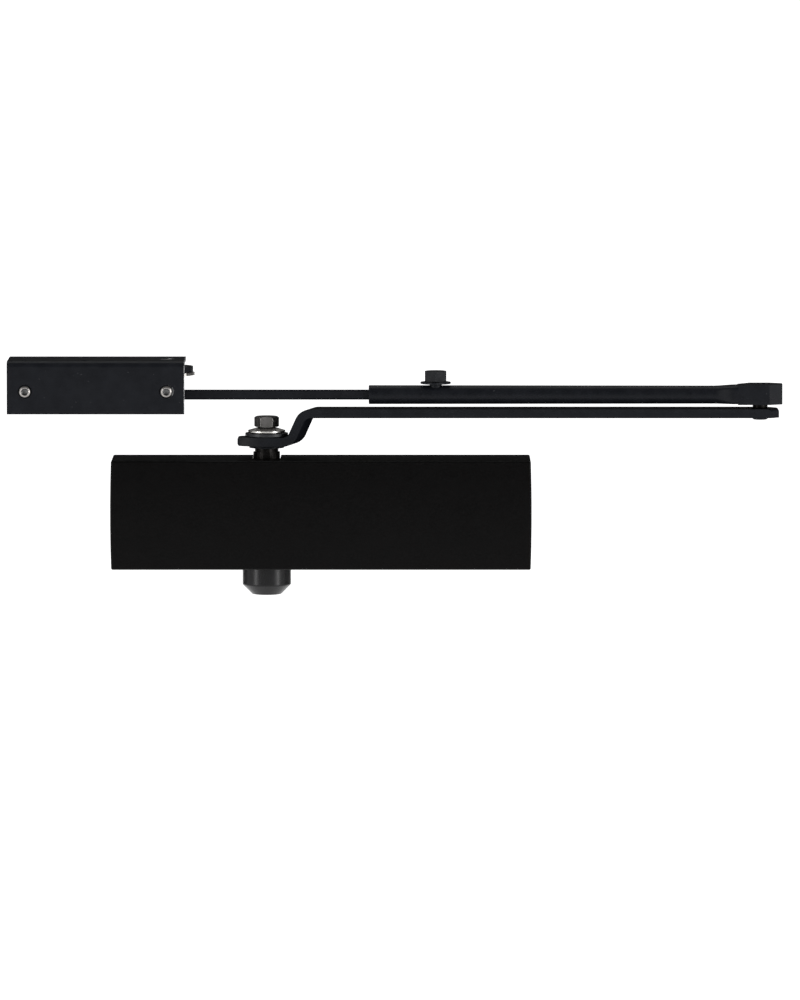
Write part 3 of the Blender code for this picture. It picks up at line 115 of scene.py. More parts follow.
class Paint:
    """A Principled material that is put together node by node."""

    def __init__(self, name, roughness=0.5, metallic=0.0, specular=0.5):
        self.material = bpy.data.materials.new(name)
        self.material.use_nodes = True
        self.tree = self.material.node_tree
        self.shader = self.tree.nodes["Principled BSDF"]
        self.shader.inputs["Roughness"].default_value = roughness
        self.shader.inputs["Metallic"].default_value = metallic
        self.shader.inputs["Specular IOR Level"].default_value = specular
        self.where = self.add("ShaderNodeTexCoord").outputs["Object"]

    def add(self, kind, **settings):
        node = self.tree.nodes.new(kind)
        for key, value in settings.items():
            setattr(node, key, value)
        return node

    def link(self, source, target):
        self.tree.links.new(source, target)

    def noise(self, size, detail, stretch=(1, 1, 1)):
        """Noise with features about size metres across. A stretch below 1 draws them out along that axis."""
        mapping = self.add("ShaderNodeMapping")
        mapping.inputs["Scale"].default_value = stretch
        self.link(self.where, mapping.inputs["Vector"])
        node = self.add("ShaderNodeTexNoise")
        node.inputs["Scale"].default_value = 1 / size
        node.inputs["Detail"].default_value = detail
        self.link(mapping.outputs["Vector"], node.inputs["Vector"])
        return node.outputs["Fac"]

    def ramp(self, source, low, high, start=0.0, end=1.0):
        """Maps source from start..end onto low..high, clamped at both."""
        node = self.add("ShaderNodeMapRange")
        self.link(source, node.inputs["Value"])
        for key, value in (("From Min", start), ("From Max", end), ("To Min", low), ("To Max", high)):
            node.inputs[key].default_value = value
        return node.outputs["Result"]

    def mix(self, amount, first, second):
        """A colour between two colours or colour sockets."""
        node = self.add("ShaderNodeMix", data_type="RGBA")
        self.link(amount, node.inputs["Factor"])
        for key, value in ((6, first), (7, second)):
            if isinstance(value, tuple):
                node.inputs[key].default_value = (*value, 1)
            else:
                self.link(value, node.inputs[key])
        return node.outputs[2]

    def colour(self, source):
        self.link(source, self.shader.inputs["Base Color"])

    def rough(self, source):
        self.link(source, self.shader.inputs["Roughness"])

    def bump(self, *heights):
        """Adds bumps one on another, each given as (height source, depth in metres)."""
        normal = None
        for height, depth in heights:
            node = self.add("ShaderNodeBump")
            node.inputs["Strength"].default_value = 1.0
            node.inputs["Distance"].default_value = depth
            self.link(height, node.inputs["Height"])
            if normal:
                self.link(normal, node.inputs["Normal"])
            normal = node.outputs["Normal"]
        self.link(normal, self.shader.inputs["Normal"])


def fine_texture_black(name, colour, roughness, specular, grain):
    """The cover's powder-fine matt black: a dense grain with a faint mottling."""
    paint = Paint(name, roughness, 0.0, specular)
    speckle = paint.noise(grain, 2.0)
    mottle = paint.noise(9 * MM, 3.0)
    lighter = tuple(c * 1.7 for c in colour)
    darker = tuple(c * 0.6 for c in colour)
    grainy = paint.mix(paint.ramp(speckle, 0, 1, 0.36, 0.66), darker, lighter)
    paint.colour(paint.mix(paint.ramp(mottle, 0, 0.3, 0.35, 0.7), grainy, lighter))
    paint.rough(paint.ramp(speckle, roughness - 0.06, roughness + 0.08, 0.3, 0.7))
    paint.bump((speckle, 0.02 * MM))
    return paint.material


def satin_black(name, tone=0.54, worn=0.0, specular=0.08):
    """The arm's blue-black paint: uneven gloss, a fine grain and a very few bright specks."""
    paint = Paint(name, 0.4, 0.0, specular)
    grain = paint.noise(0.5 * MM, 3.0)
    cloud = paint.noise(6 * MM, 4.0)
    specks = paint.noise(1.3 * MM, 0.0)
    dark = tuple(c * tone for c in (0.0056, 0.0062, 0.0082))
    light = tuple(c * tone for c in (0.0092, 0.0102, 0.0132))
    base = paint.mix(paint.ramp(cloud, 0, 1, 0.3, 0.7), dark, light)
    grained = paint.mix(paint.ramp(grain, 0, 0.5, 0.35, 0.7), base, tuple(c * 1.7 for c in light))
    chipped = paint.mix(paint.ramp(specks, 0, 0.3, 0.865, 0.89), grained, (0.1, 0.1, 0.105))
    if worn:
        rub = paint.ramp(paint.noise(1.6 * MM, 5.0), 0, worn, 0.4, 0.66)
        chipped = paint.mix(rub, chipped, (0.03, 0.031, 0.034))
    paint.colour(chipped)
    paint.rough(paint.ramp(cloud, 0.34, 0.5, 0.3, 0.7))
    paint.bump((grain, 0.02 * MM), (cloud, 0.06 * MM))
    return paint.material


def moulded_black(name):
    """The cap's satin plastic, with a faint orange peel."""
    paint = Paint(name, 0.26, 0.0, 0.18)
    peel = paint.noise(0.7 * MM, 2.0)
    flow = paint.noise(5 * MM, 3.0, (1, 1, 0.3))
    dark, light = (0.0025, 0.0025, 0.0028), (0.005, 0.005, 0.0054)
    paint.colour(paint.mix(paint.ramp(flow, 0, 1, 0.3, 0.7), dark, light))
    paint.rough(paint.ramp(flow, 0.22, 0.33, 0.3, 0.7))
    paint.bump((peel, 0.012 * MM))
    return paint.material


def bright_metal(name, dark, light, roughness, stretch=(1, 1, 1)):
    """Plated or machined steel: cloudy plating, drawn-out tool marks and small stains."""
    paint = Paint(name, roughness, 1.0)
    marks = paint.noise(0.35 * MM, 4.0, stretch)
    cloud = paint.noise(3 * MM, 3.0)
    stain = paint.noise(1.3 * MM, 5.0)
    plated = paint.mix(paint.ramp(cloud, 0, 1, 0.3, 0.7), dark, light)
    stained = tuple(c * 0.55 for c in dark)
    paint.colour(paint.mix(paint.ramp(stain, 0, 0.5, 0.6, 0.72), plated, stained))
    paint.rough(paint.ramp(marks, roughness - 0.08, roughness + 0.12, 0.3, 0.7))
    paint.bump((marks, 0.012 * MM))
    return paint.material


def cast_metal(name):
    """Die-cast alloy under a thin grey coat: a sandy skin with soft lumps."""
    paint = Paint(name, 0.55, 0.75)
    sand = paint.noise(0.45 * MM, 5.0)
    lumps = paint.noise(4 * MM, 3.0)
    cast = paint.mix(paint.ramp(lumps, 0, 1, 0.3, 0.7), (0.17, 0.172, 0.18), (0.26, 0.262, 0.27))
    paint.colour(paint.mix(paint.ramp(sand, 0, 0.5, 0.4, 0.75), cast, (0.1, 0.1, 0.105)))
    paint.rough(paint.ramp(sand, 0.45, 0.7, 0.3, 0.7))
    paint.bump((sand, 0.06 * MM), (lumps, 0.12 * MM))
    return paint.material


def soft_rubber(name):
    """Moulded seal rubber with a bloom on it."""
    paint = Paint(name, 0.75, 0.0, 0.35)
    bloom = paint.noise(2 * MM, 5.0)
    paint.colour(paint.mix(paint.ramp(bloom, 0, 1, 0.4, 0.7), (0.014, 0.014, 0.014), (0.035, 0.035, 0.034)))
    paint.rough(paint.ramp(bloom, 0.65, 0.85, 0.3, 0.7))
    paint.bump((paint.noise(0.3 * MM, 2.0), 0.02 * MM))
    return paint.material


COVER = fine_texture_black("cover_matt_black", (0.0017, 0.0016, 0.0016), 0.36, 0.04, 0.55 * MM)
COVER_INSIDE = fine_texture_black("cover_inside", (0.006, 0.006, 0.006), 0.6, 0.1, 0.8 * MM)
BLACK = satin_black("arm_satin_black")
BLACK_EDGE = satin_black("arm_worn_edge", 0.6, 0.35)
# Bare steel for the housing's rounded edges at its right end only: the cut edge, with a painted highlight
# along that end.
CUT_EDGE_AND_HIGHLIGHT = bright_metal("sheet_cut_edge_and_highlight", (0.2, 0.2, 0.2), (0.42, 0.42, 0.43), 0.4)
# Painted shade: a darker, glossless black for the arm's undersides and the grooves round the rivets.
PAINTED_SHADE_BLACK = satin_black("shadowed_black", 0.5, 0.0, 0.0)
DARK_WASHER = satin_black("washer_black", 0.5, 0.3, 0.3)
CAP = moulded_black("cap_satin_plastic")
BOLT = bright_metal("bolt_plate", (0.085, 0.082, 0.079), (0.135, 0.13, 0.126), 0.34)
# Painted highlight: the bolt head's rounded edges in a much lighter plate, as glints along them.
BOLT_EDGE_HIGHLIGHT = bright_metal("bolt_plate_edge_highlight", (0.3, 0.29, 0.28), (0.42, 0.41, 0.4), 0.3)
NICKEL = bright_metal("bright_plate", (0.42, 0.41, 0.39), (0.6, 0.585, 0.56), 0.3)
NICKEL_EDGE = bright_metal("bright_plate_edge", (0.6, 0.59, 0.57), (0.8, 0.79, 0.77), 0.24)
RIVET_RIM = bright_metal("rivet_rim", (0.17, 0.16, 0.155), (0.33, 0.315, 0.3), 0.34)
# Painted shade: the rivet head's dimple in a much darker metal.
RIVET_DIMPLE_SHADE = bright_metal("rivet_dimple_shade", (0.05, 0.05, 0.05), (0.1, 0.1, 0.1), 0.42)
BLACKENED = bright_metal("blackened_steel", (0.006, 0.0057, 0.0055), (0.016, 0.015, 0.0145), 0.4)
STEEL = bright_metal("machined_steel", (0.3, 0.3, 0.3), (0.46, 0.455, 0.45), 0.36)
STEEL_EDGE = bright_metal("machined_steel_edge", (0.45, 0.45, 0.45), (0.6, 0.6, 0.6), 0.3)
DRAWN_STEEL = bright_metal("drawn_steel", (0.26, 0.26, 0.265), (0.42, 0.42, 0.42), 0.34, (0.1, 1, 1))
BRASS = bright_metal("turned_brass", (0.5, 0.34, 0.12), (0.72, 0.53, 0.22), 0.3)
BRONZE = bright_metal("sintered_bronze", (0.36, 0.22, 0.1), (0.5, 0.33, 0.16), 0.45)
CASTING = cast_metal("cast_alloy")
CASTING_EDGE = bright_metal("cast_alloy_edge", (0.3, 0.3, 0.305), (0.42, 0.42, 0.425), 0.42)
RUBBER = soft_rubber("seal_rubber")


# ---------------------------------------------------------------- mesh helpers


def arc(centre, radius, start, end, steps):
    """Points of an arc, in degrees, both ends included."""
    angles = [math.radians(start + (end - start) * i / steps) for i in range(steps + 1)]
    return [(centre[0] + radius * math.cos(a), centre[1] + radius * math.sin(a)) for a in angles]


def circle(radius, steps, centre=(0, 0), start=0.0):
    return arc(centre, radius, start, start + 360, steps)[:-1]


def flatted(radius, flat, steps=8):
    """A round section with four flats milled on it, each at a distance from the axis."""
    half = math.degrees(math.acos(min(flat / radius, 1)))
    points = []
    for quarter in range(4):
        points += arc((0, 0), radius, 90 * quarter + half, 90 * (quarter + 1) - half, steps)
    return points


def object_from(name, bm, *materials):
    bmesh.ops.recalc_face_normals(bm, faces=bm.faces)
    mesh = bpy.data.meshes.new(name)
    bm.to_mesh(mesh)
    bm.free()
    obj = bpy.data.objects.new(name, mesh)
    bpy.context.scene.collection.objects.link(obj)
    for material in materials:
        mesh.materials.append(material)
    return obj


PLANES = {
    "XY": lambda a, b, depth: (a, b, depth),
    "XZ": lambda a, b, depth: (a, depth, b),
    "YZ": lambda a, b, depth: (depth, a, b),
}


def prism_mesh(outline, start, end, plane="XY"):
    bm = bmesh.new()
    place = PLANES[plane]
    face = bm.faces.new([bm.verts.new(place(a, b, start)) for a, b in outline])
    grown = bmesh.ops.extrude_face_region(bm, geom=[face])["geom"]
    moved = [v for v in grown if isinstance(v, bmesh.types.BMVert)]
    bmesh.ops.translate(bm, verts=moved, vec=Vector(place(0, 0, end - start)))
    return bm


def prism(name, outline, start, end, *materials, plane="XY"):
    return object_from(name, prism_mesh(outline, start, end, plane), *materials)


def fillet(profile, radius, closed, steps=3):
    """A profile with each corner rounded, as far as the lengths beside it allow."""
    count = len(profile)
    rounded = []
    for i, point in enumerate(profile):
        if not closed and i in (0, count - 1):
            rounded.append(point)
            continue
        here = Vector(point)
        before, after = Vector(profile[i - 1]) - here, Vector(profile[(i + 1) % count]) - here
        reach = min(radius, before.length * 0.45, after.length * 0.45)
        start, end = here + before.normalized() * reach, here + after.normalized() * reach
        for k in range(steps + 1):
            t = k / steps
            rounded.append(tuple(start * (1 - t) ** 2 + here * 2 * t * (1 - t) + end * t**2))
    return rounded


def turned_mesh(profile, steps, axis, centre):
    """Spins a profile of (radius, height) points. It starts and ends on the axis, or it closes."""
    bm = bmesh.new()
    verts = [bm.verts.new((radius, 0, height)) for radius, height in profile]
    edges = [bm.edges.new(pair) for pair in zip(verts, verts[1:])]
    if profile[0][0] > 0:
        edges.append(bm.edges.new((verts[-1], verts[0])))
    bmesh.ops.spin(bm, geom=verts + edges, axis=(0, 0, 1), cent=(0, 0, 0), angle=2 * math.pi, steps=steps)
    bmesh.ops.remove_doubles(bm, verts=bm.verts, dist=WELD)
    turn = {
        "Z": Matrix.Identity(4),
        "X": Matrix.Rotation(math.pi / 2, 4, "Y"),
        "Y": Matrix.Rotation(-math.pi / 2, 4, "X"),
    }[axis]
    bmesh.ops.transform(bm, matrix=Matrix.Translation(centre) @ turn, verts=bm.verts)
    return bm


def turned(name, profile, *materials, steps=72, axis="Z", centre=(0, 0, 0), soften=0.2 * MM):
    if soften:
        profile = fillet(profile, soften, profile[0][0] > 0)
    return object_from(name, turned_mesh(profile, steps, axis, centre), *materials)


def rod_profile(*stages):
    """A solid turned profile from (radius, start, end) stages that follow one another."""
    points = [(0, stages[0][1])]
    for radius, start, end in stages:
        points += [(radius, start), (radius, end)]
    return points + [(0, stages[-1][2])]


def ring_profile(inner, outer, start, end):
    return [(inner, start), (outer, start), (outer, end), (inner, end)]


def boolean(obj, tool, operation="DIFFERENCE", shared=False):
    """Applies a Boolean at once. A tool's own materials come with its faces when they are shared."""
    modifier = obj.modifiers.new("cut", "BOOLEAN")
    modifier.object = tool
    modifier.operation = operation
    modifier.solver = "EXACT"
    if shared:
        modifier.material_mode = "TRANSFER"
    settle(obj)
    bpy.data.objects.remove(tool, do_unlink=True)


def drill(radius, start, end, centre=(0, 0, 0), **turning):
    """A plain round cutter for holes in black pieces, or a plain round stub to add to one."""
    profile = rod_profile((radius, start, end))
    return turned("hole", profile, BLACK, BLACK_EDGE, centre=centre, soften=0, **turning)


def settle(obj):
    """Replaces an object's mesh with the one its modifiers make."""
    bpy.context.view_layer.update()
    graph = bpy.context.evaluated_depsgraph_get()
    made = bpy.data.meshes.new_from_object(obj.evaluated_get(graph))
    obj.modifiers.clear()
    obj.data = made


def whole_faces(obj):
    """The object's mesh for editing, with level faces made whole again after the Booleans."""
    bm = bmesh.new()
    bm.from_mesh(obj.data)
    bmesh.ops.remove_doubles(bm, verts=bm.verts, dist=WELD)
    bmesh.ops.dissolve_limit(bm, angle_limit=FLAT_ANGLE, verts=bm.verts, edges=bm.edges)
    return bm


def soften_edges(obj, width, segments, angle, edge_material=None):
    """Rounds every sharp edge. The rounded strips can take a second material, as where paint has worn."""
    bm = whole_faces(obj)
    sharp = [
        e for e in bm.edges if len(e.link_faces) == 2 and e.calc_face_angle(0) > math.radians(angle)
    ]
    bevelled = bmesh.ops.bevel(
        bm, geom=sharp, offset=width, segments=segments, profile=0.5, affect="EDGES", clamp_overlap=True
    )
    if edge_material is not None:
        for face in bevelled["faces"]:
            face.material_index = edge_material
    bm.to_mesh(obj.data)
    bm.free()
    return obj


def finish_shape(obj, place, body, node, angle):
    """Shades a piece, puts it in its place, ties it to its body and hides the CAD node it stands for."""
    obj.data.shade_smooth()
    obj.data.set_sharp_from_angle(angle=math.radians(angle))
    weighted = obj.modifiers.new("weighted_normals", "WEIGHTED_NORMAL")
    weighted.keep_sharp = True
    weighted.mode = "FACE_AREA_WITH_ANGLE"
    obj.matrix_world = place
    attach(obj, body)
    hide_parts(node)


def copy_of_node(name, node, place, *materials):
    """A CAD node's own faces as a new object, in a place's own axes."""
    bm = bmesh.new()
    bm.from_mesh(frame["nodes"][node].data)
    bmesh.ops.transform(bm, matrix=place.inverted(), verts=bm.verts)
    for face in bm.faces:
        face.material_index = 0
    return object_from(name, bm, *materials)


def refine(node, body, width, surface, edges, place=AT_ORIGIN):
    """A finished copy of a CAD node: its own faces, with the sharp edges rounded."""
    obj = copy_of_node(node + "_finished", node, place, surface, edges)
    soften_edges(obj, width, 2, 30, 1)
    finish_shape(obj, place, body, node, angle=32)


# ---------------------------------------------------------------- front cover


def cover_outline(half, end, corner, bulge):
    """The cover seen from the front: straight top and bottom, rounded corners and gently swelling ends."""
    left, right = end
    steps, ease = 10, corner * 0.3
    points = []
    for x, direction in ((right, 1), (left, -1)):
        points.append((x - direction * corner, -direction * half))
        points.append((x - direction * ease, -direction * (half - ease)))
        for i in range(steps + 1):
            t = direction * (2 * i / steps - 1)
            points.append((x + direction * bulge * (1 - t * t), t * (half - corner)))
        points.append((x - direction * ease, direction * (half - ease)))
        points.append((x - direction * corner, direction * half))
    return points


def make_cover():
    """The snap-on shell, with a notch above for the upper nut's neck and one below for the lower nut."""
    low, high = extent("front_cover")
    wall, bow, corner, bulge = 2 * MM, 1.2 * MM, 0.8 * MM, 0.45 * MM
    shell = cover_block(low, high, 0, bow, corner, bulge)
    hollow = cover_block(low, high, wall, bow, corner * 0.5, bulge)
    for polygon in hollow.data.polygons:
        polygon.material_index = 1
    boolean(shell, hollow)
    upper = 7.75 * MM
    lower = extent("lower_bearing_nut", AT_SPINDLE)[1].x + 0.7 * MM
    near, far, behind = 20 * MM, 40 * MM, 10 * MM
    centre = AT_SPINDLE.translation.y
    for width, z0, z1 in ((upper, near, far), (lower, -far, -near)):
        outline = arc((0, centre), width, 180, 360, 32) + [(width, behind), (-width, behind)]
        boolean(shell, prism("notch", outline, z0, z1, COVER, COVER_INSIDE))
    soften_edges(shell, 0.35 * MM, 2, 50)
    finish_shape(shell, AT_ORIGIN, "cover", "front_cover", angle=28)


def cover_block(low, high, inset, bow, corner, bulge):
    """A solid of the cover's outside, or of its hollow: a bowed front, drawn back to the open rear."""
    half = high.z - inset
    left, right = low.x + bulge + inset, high.x - bulge - inset
    outline = cover_outline(half, (left, right), corner, bulge)
    past_rear = 20 * MM if inset else 0
    rear, front = high.y + past_rear, low.y + bow + inset
    edge = 0.8 * MM if inset else 1.1 * MM
    bm = bmesh.new()
    rings = []
    for depth, shrink in ((rear, 0.0), (front + edge, 0.0), *rounding(front, edge), (front, edge)):
        ring = [(shrunk(x, left, right, shrink), depth, shrunk(z, -half, half, shrink)) for x, z in outline]
        rings.append([bm.verts.new(point) for point in ring])
    for first, second in zip(rings, rings[1:]):
        for k in range(len(outline)):
            m = (k + 1) % len(outline)
            bm.faces.new((first[k], first[m], second[m], second[k]))
    bm.faces.new(rings[0])
    face = bm.faces.new(rings[-1])
    cut_front(bm, face, half)
    for vert in bm.verts:
        if vert.co.y < front + edge * 1.01:
            vert.co.y -= bow * (1 - (vert.co.z / half) ** 2)
    return object_from("front_cover_shell", bm, COVER, COVER_INSIDE)


def rounding(front, edge):
    """Depths and insets of the rings that round the front's rim."""
    steps = 5
    rings = []
    for i in range(1, steps):
        turn = math.radians(90 * i / steps)
        rings.append((front + edge * (1 - math.sin(turn)), edge * (1 - math.cos(turn))))
    return rings


def shrunk(value, low, high, by):
    """A coordinate drawn in towards the middle of two ends, by a whole step at the ends themselves."""
    middle, half = (low + high) / 2, (high - low) / 2
    return value - by * max(-1.0, min(1.0, (value - middle) / half))


def cut_front(bm, face, half):
    """Slices the front face into level strips, so that it can bow."""
    strips = 16
    for i in range(1, strips):
        z = half * (2 * i / strips - 1)
        faces = [f for f in bm.faces if abs(f.normal.y) > 0.9 or f is face]
        edges = {e for f in faces for e in f.edges}
        geometry = list(faces) + list(edges) + list({v for e in edges for v in e.verts})
        bmesh.ops.bisect_plane(bm, geom=geometry, plane_co=(0, 0, z), plane_no=(0, 0, 1))


make_cover()


# ---------------------------------------------------------------- pinion cap and casing


def make_cap():
    low, high = extent("pinion_cap", AT_SPINDLE)
    radius, chamfer, wall = high.x, 5.5 * MM, 1.5 * MM
    inner = radius - wall
    profile = [
        (0, low.z),
        (radius - chamfer, low.z),
        (radius, low.z + chamfer),
        (radius, high.z),
        (inner, high.z),
        (inner, low.z + chamfer + 0.6 * MM),
        (inner - chamfer + 1.2 * MM, low.z + wall),
        (0, low.z + wall),
    ]
    cap = turned("pinion_cap_moulding", profile, CAP, steps=96, soften=0.5 * MM)
    finish_shape(cap, AT_SPINDLE, "cap", "pinion_cap", angle=60)


make_cap()
refine("casing", "casing", 0.5 * MM, CASTING, CASTING_EDGE)


# ---------------------------------------------------------------- spindle stack


def hexagon(across_flats, start):
    return circle(across_flats / math.sqrt(3), 6, start=start)


def hex_head(name, across_flats, bottom, start, *materials):
    """A hexagon head: corners turned off at the top and, less, underneath, with a washer face below."""
    top = bottom + HEAD_HEIGHT
    head = prism(name, hexagon(across_flats, start), bottom, top, *materials)
    corner, flat = across_flats / math.sqrt(3) + 0.6 * MM, across_flats / 2
    washer_face, below, above = flat + 0.1 * MM, bottom - 1 * MM, top + 0.05 * MM
    profile = [
        (0, below),
        (washer_face, below),
        (washer_face, bottom),
        (corner, bottom + 0.7 * MM),
        (corner, top - 1 * MM),
        (flat - 0.35 * MM, above),
        (flat - 1.2 * MM, above),
        (0, above),
    ]
    cone = turned("cone", profile, *materials, soften=0)
    boolean(head, cone, "INTERSECT")
    # The rounded edges take the second material: a painted highlight on the arm's bolt, worn paint on the
    # clamp bolt.
    return soften_edges(head, 0.18 * MM, 2, 22, 1)


def make_bolt(name, node, place, body, slot, shank_radius, start, *materials):
    """A hexagon bolt the size of its CAD node: the head with a plain shank under it."""
    low, high = extent(node, place)
    across_flats = min(high.x - low.x, high.y - low.y)
    bottom = high.z - HEAD_HEIGHT
    head = hex_head(name, across_flats, bottom, start, *materials)
    profile = rod_profile((shank_radius, low.z, bottom + 1 * MM))
    boolean(head, turned("shank", profile, *materials, steps=48), "UNION")
    finish_shape(head, place, body, node, angle=30)


def make_ring(name, node, place, body, bore, soften, material, steps=72):
    """A plain washer, disc or spacer the size of its CAD node."""
    low, high = extent(node, place)
    ring = turned(name, ring_profile(bore, high.x, low.z, high.z), material, steps=steps, soften=soften)
    finish_shape(ring, place, body, node, angle=60)


def make_spring_washer():
    """The conical washer: its rim low and its bore high, one thickness of sheet throughout."""
    low, high = extent("arm_spring_washer", AT_SPINDLE)
    thick = 1.1 * MM
    profile = [
        (BOLT_HOLE, high.z - thick),
        (high.x, low.z),
        (high.x, low.z + thick),
        (BOLT_HOLE, high.z),
    ]
    conical = turned("arm_spring_washer_dished", profile, NICKEL, soften=0.25 * MM)
    finish_shape(conical, AT_SPINDLE, "spindle", "arm_spring_washer", angle=60)


make_bolt("arm_bolt_head", "arm_bolt", AT_SPINDLE, "spindle", "zinc", 3.9 * MM, 0, BOLT, BOLT_EDGE_HIGHLIGHT)
make_ring(
    "arm_flat_washer_disc", "arm_flat_washer", AT_SPINDLE, "spindle",
    BOLT_HOLE, 0.35 * MM, DARK_WASHER,
)
make_ring(
    "shoulder_disc_blank", "shoulder_disc", AT_SPINDLE, "spindle",
    DRIVE_RADIUS, 0.2 * MM, BLACK,
)
make_spring_washer()


# ---------------------------------------------------------------- main arm


def arm_path(skew, tip, end, low, rise, middle):
    """The arm's centre line seen from the front, as (along, height, slope): two bends joined by a ramp."""
    bend, angle, steps = 6.5 * MM, math.radians(66), 14
    run = 2 * bend * math.sin(angle) + (rise - 2 * bend * (1 - math.cos(angle))) / math.tan(angle)
    start = middle + skew - run / 2
    first, second = [], []
    for i in range(steps + 1):
        slope = angle * i / steps
        along, up = bend * math.sin(slope), bend * (1 - math.cos(slope))
        first.append((start + along, low + up, slope))
        second.append((start + run - along, low + rise - up, slope))
    return [(tip, low, 0.0), *first, *reversed(second), (end, low + rise, 0.0)]


def arm_strip(low, high, thick, skew, middle):
    """A strip as wide as the eye, bent along the arm's path, which runs later towards the back."""
    across, half = 12, thick / 2
    rise = high.z - low.z - thick
    bm = bmesh.new()
    layers = {}
    for s in range(across + 1):
        y = high.y * (2 * s / across - 1)
        path = arm_path(skew * s / across, low.x, high.x, low.z + half, rise, middle)
        for i, (x, z, slope) in enumerate(path):
            for level in (-1, 1):
                point = (x - math.sin(slope) * level * half, y, z + math.cos(slope) * level * half)
                layers[level, s, i] = bm.verts.new(point)
    count = len(path)

    def quad(*corners):
        bm.faces.new([layers[corner] for corner in corners])

    for s in range(across):
        for i in range(count - 1):
            for level in (-1, 1):
                quad((level, s, i), (level, s, i + 1), (level, s + 1, i + 1), (level, s + 1, i))
        for i in (0, count - 1):
            quad((-1, s, i), (-1, s + 1, i), (1, s + 1, i), (1, s, i))
    for i in range(count - 1):
        for s in (0, across):
            quad((-1, s, i), (-1, s, i + 1), (1, s, i + 1), (1, s, i))
    return object_from("main_arm_bar", bm, BLACK, BLACK_EDGE, PAINTED_SHADE_BLACK)


def arm_plan(low, high, middle):
    """Half of the arm's outline from above: the clipped eye, the taper past the crank and the flat bar."""
    eye, bar, bar_start = high.y, 10 * MM, 15.6 * MM
    eye_clip, end_clip = (11.6 * MM, 7 * MM), 5 * MM
    return [
        (high.x, bar - end_clip),
        (high.x - end_clip, bar),
        (middle + bar_start, bar),
        (middle - bar_start / 2, eye),
        (low.x + eye_clip[0], eye),
        (low.x, eye - eye_clip[1]),
    ]


def round_ends(arm, low, high):
    """Forges the eye's tip round, above and below, and the elbow end round above."""
    end, level_within, top_skin = 5 * MM, 0.01 * MM, 1 * MM
    bm = whole_faces(arm)
    for at_tip, top_only, width in ((True, False, 1.4 * MM), (False, True, 1.5 * MM)):
        picked = []
        for edge in bm.edges:
            a, b = edge.verts[0].co, edge.verts[1].co
            level = abs(a.z - b.z) < level_within and edge.calc_face_angle(0) > 1
            near = max(a.x, b.x) < low.x + end if at_tip else min(a.x, b.x) > high.x - end - 0.2 * MM
            if level and near and (a.z > high.z - top_skin or not top_only):
                picked.append(edge)
        bmesh.ops.bevel(bm, geom=picked, offset=width, segments=4, profile=0.5, affect="EDGES")
    bm.to_mesh(arm.data)
    bm.free()


def make_main_arm():
    low, high = extent("main_arm", AT_SPINDLE)
    middle, underside, dark = 16.6 * MM, -0.25, 2
    arm = arm_strip(low, high, 5 * MM, 5 * MM, middle)
    upper = arm_plan(low, high, middle)
    outline = upper + [(x, -y) for x, y in reversed(upper)]
    boolean(arm, prism("plan", outline, 0, THROUGH, BLACK, BLACK_EDGE), "INTERSECT")
    boolean(arm, prism("drive", flatted(DRIVE_RADIUS, DRIVE_FLAT), 0, THROUGH, BLACK, BLACK_EDGE))
    reach = AT_ELBOW.translation.x - AT_SPINDLE.translation.x
    boolean(arm, drill(ELBOW_HOLE, 0, THROUGH, (reach, 0, 0)))
    round_ends(arm, low, high)
    soften_edges(arm, 0.4 * MM, 3, 35, 0)
    # Faces that look downward take the painted shade black: painted shade on the arm's undersides.
    for polygon in arm.data.polygons:
        if polygon.normal.z < underside:
            polygon.material_index = dark
    finish_shape(arm, AT_SPINDLE, "spindle", "main_arm", angle=30)


make_main_arm()


# ---------------------------------------------------------------- elbow and forearm


def make_elbow_pin():
    low, high = extent("elbow_pin", AT_ELBOW)
    head, shank = 1.25 * MM, 3 * MM
    profile = [
        (0, low.z),
        (3.7 * MM, low.z),
        (4.2 * MM, low.z + 0.4 * MM),
        (4.2 * MM, low.z + head),
        (shank, low.z + head),
        (shank, high.z - 0.5 * MM),
        (shank - 0.6 * MM, high.z),
        (0, high.z),
    ]
    pin = turned("elbow_pin_rivet", profile, BLACK, steps=48, soften=0.3 * MM)
    finish_shape(pin, AT_ELBOW, "forearm", "elbow_pin", angle=60)


def make_end_block():
    """The block that the tube is swaged to: clipped at its free end, sloping at the top towards the tube."""
    low, high = extent("forearm_end", AT_ELBOW)
    back, half = -12.6 * MM, high.y
    clip_along, clip_across = 7.4 * MM, 4.5 * MM
    side = [(back, half), (high.x - clip_along, half), (high.x, half - clip_across)]
    outline = [(x, -y) for x, y in side] + side[::-1]
    block = prism("forearm_end_block", outline, low.z, high.z, BLACK, BLACK_EDGE)
    tube_low, tube_high = extent("forearm_tube", AT_ELBOW)
    height = (tube_low.z + tube_high.z) / 2
    spigot = drill(SPIGOT_RADIUS, low.x, back + 3 * MM, (0, 0, height), axis="X")
    boolean(block, spigot, "UNION")
    boolean(block, drill(ELBOW_HOLE, 0, THROUGH))
    past, slope_end, above = back - 1 * MM, -6.5 * MM, high.z + 2 * MM
    slope = [(past, high.z - 0.75 * MM), (slope_end, high.z - 0.12 * MM), (slope_end, above), (past, above)]
    wide = 20 * MM
    boolean(block, prism("slope", slope, -wide, wide, BLACK, BLACK_EDGE, plane="XZ"))
    soften_edges(block, 1.1 * MM, 3, 40, 0)
    finish_shape(block, AT_ELBOW, "forearm", "forearm_end", angle=30)


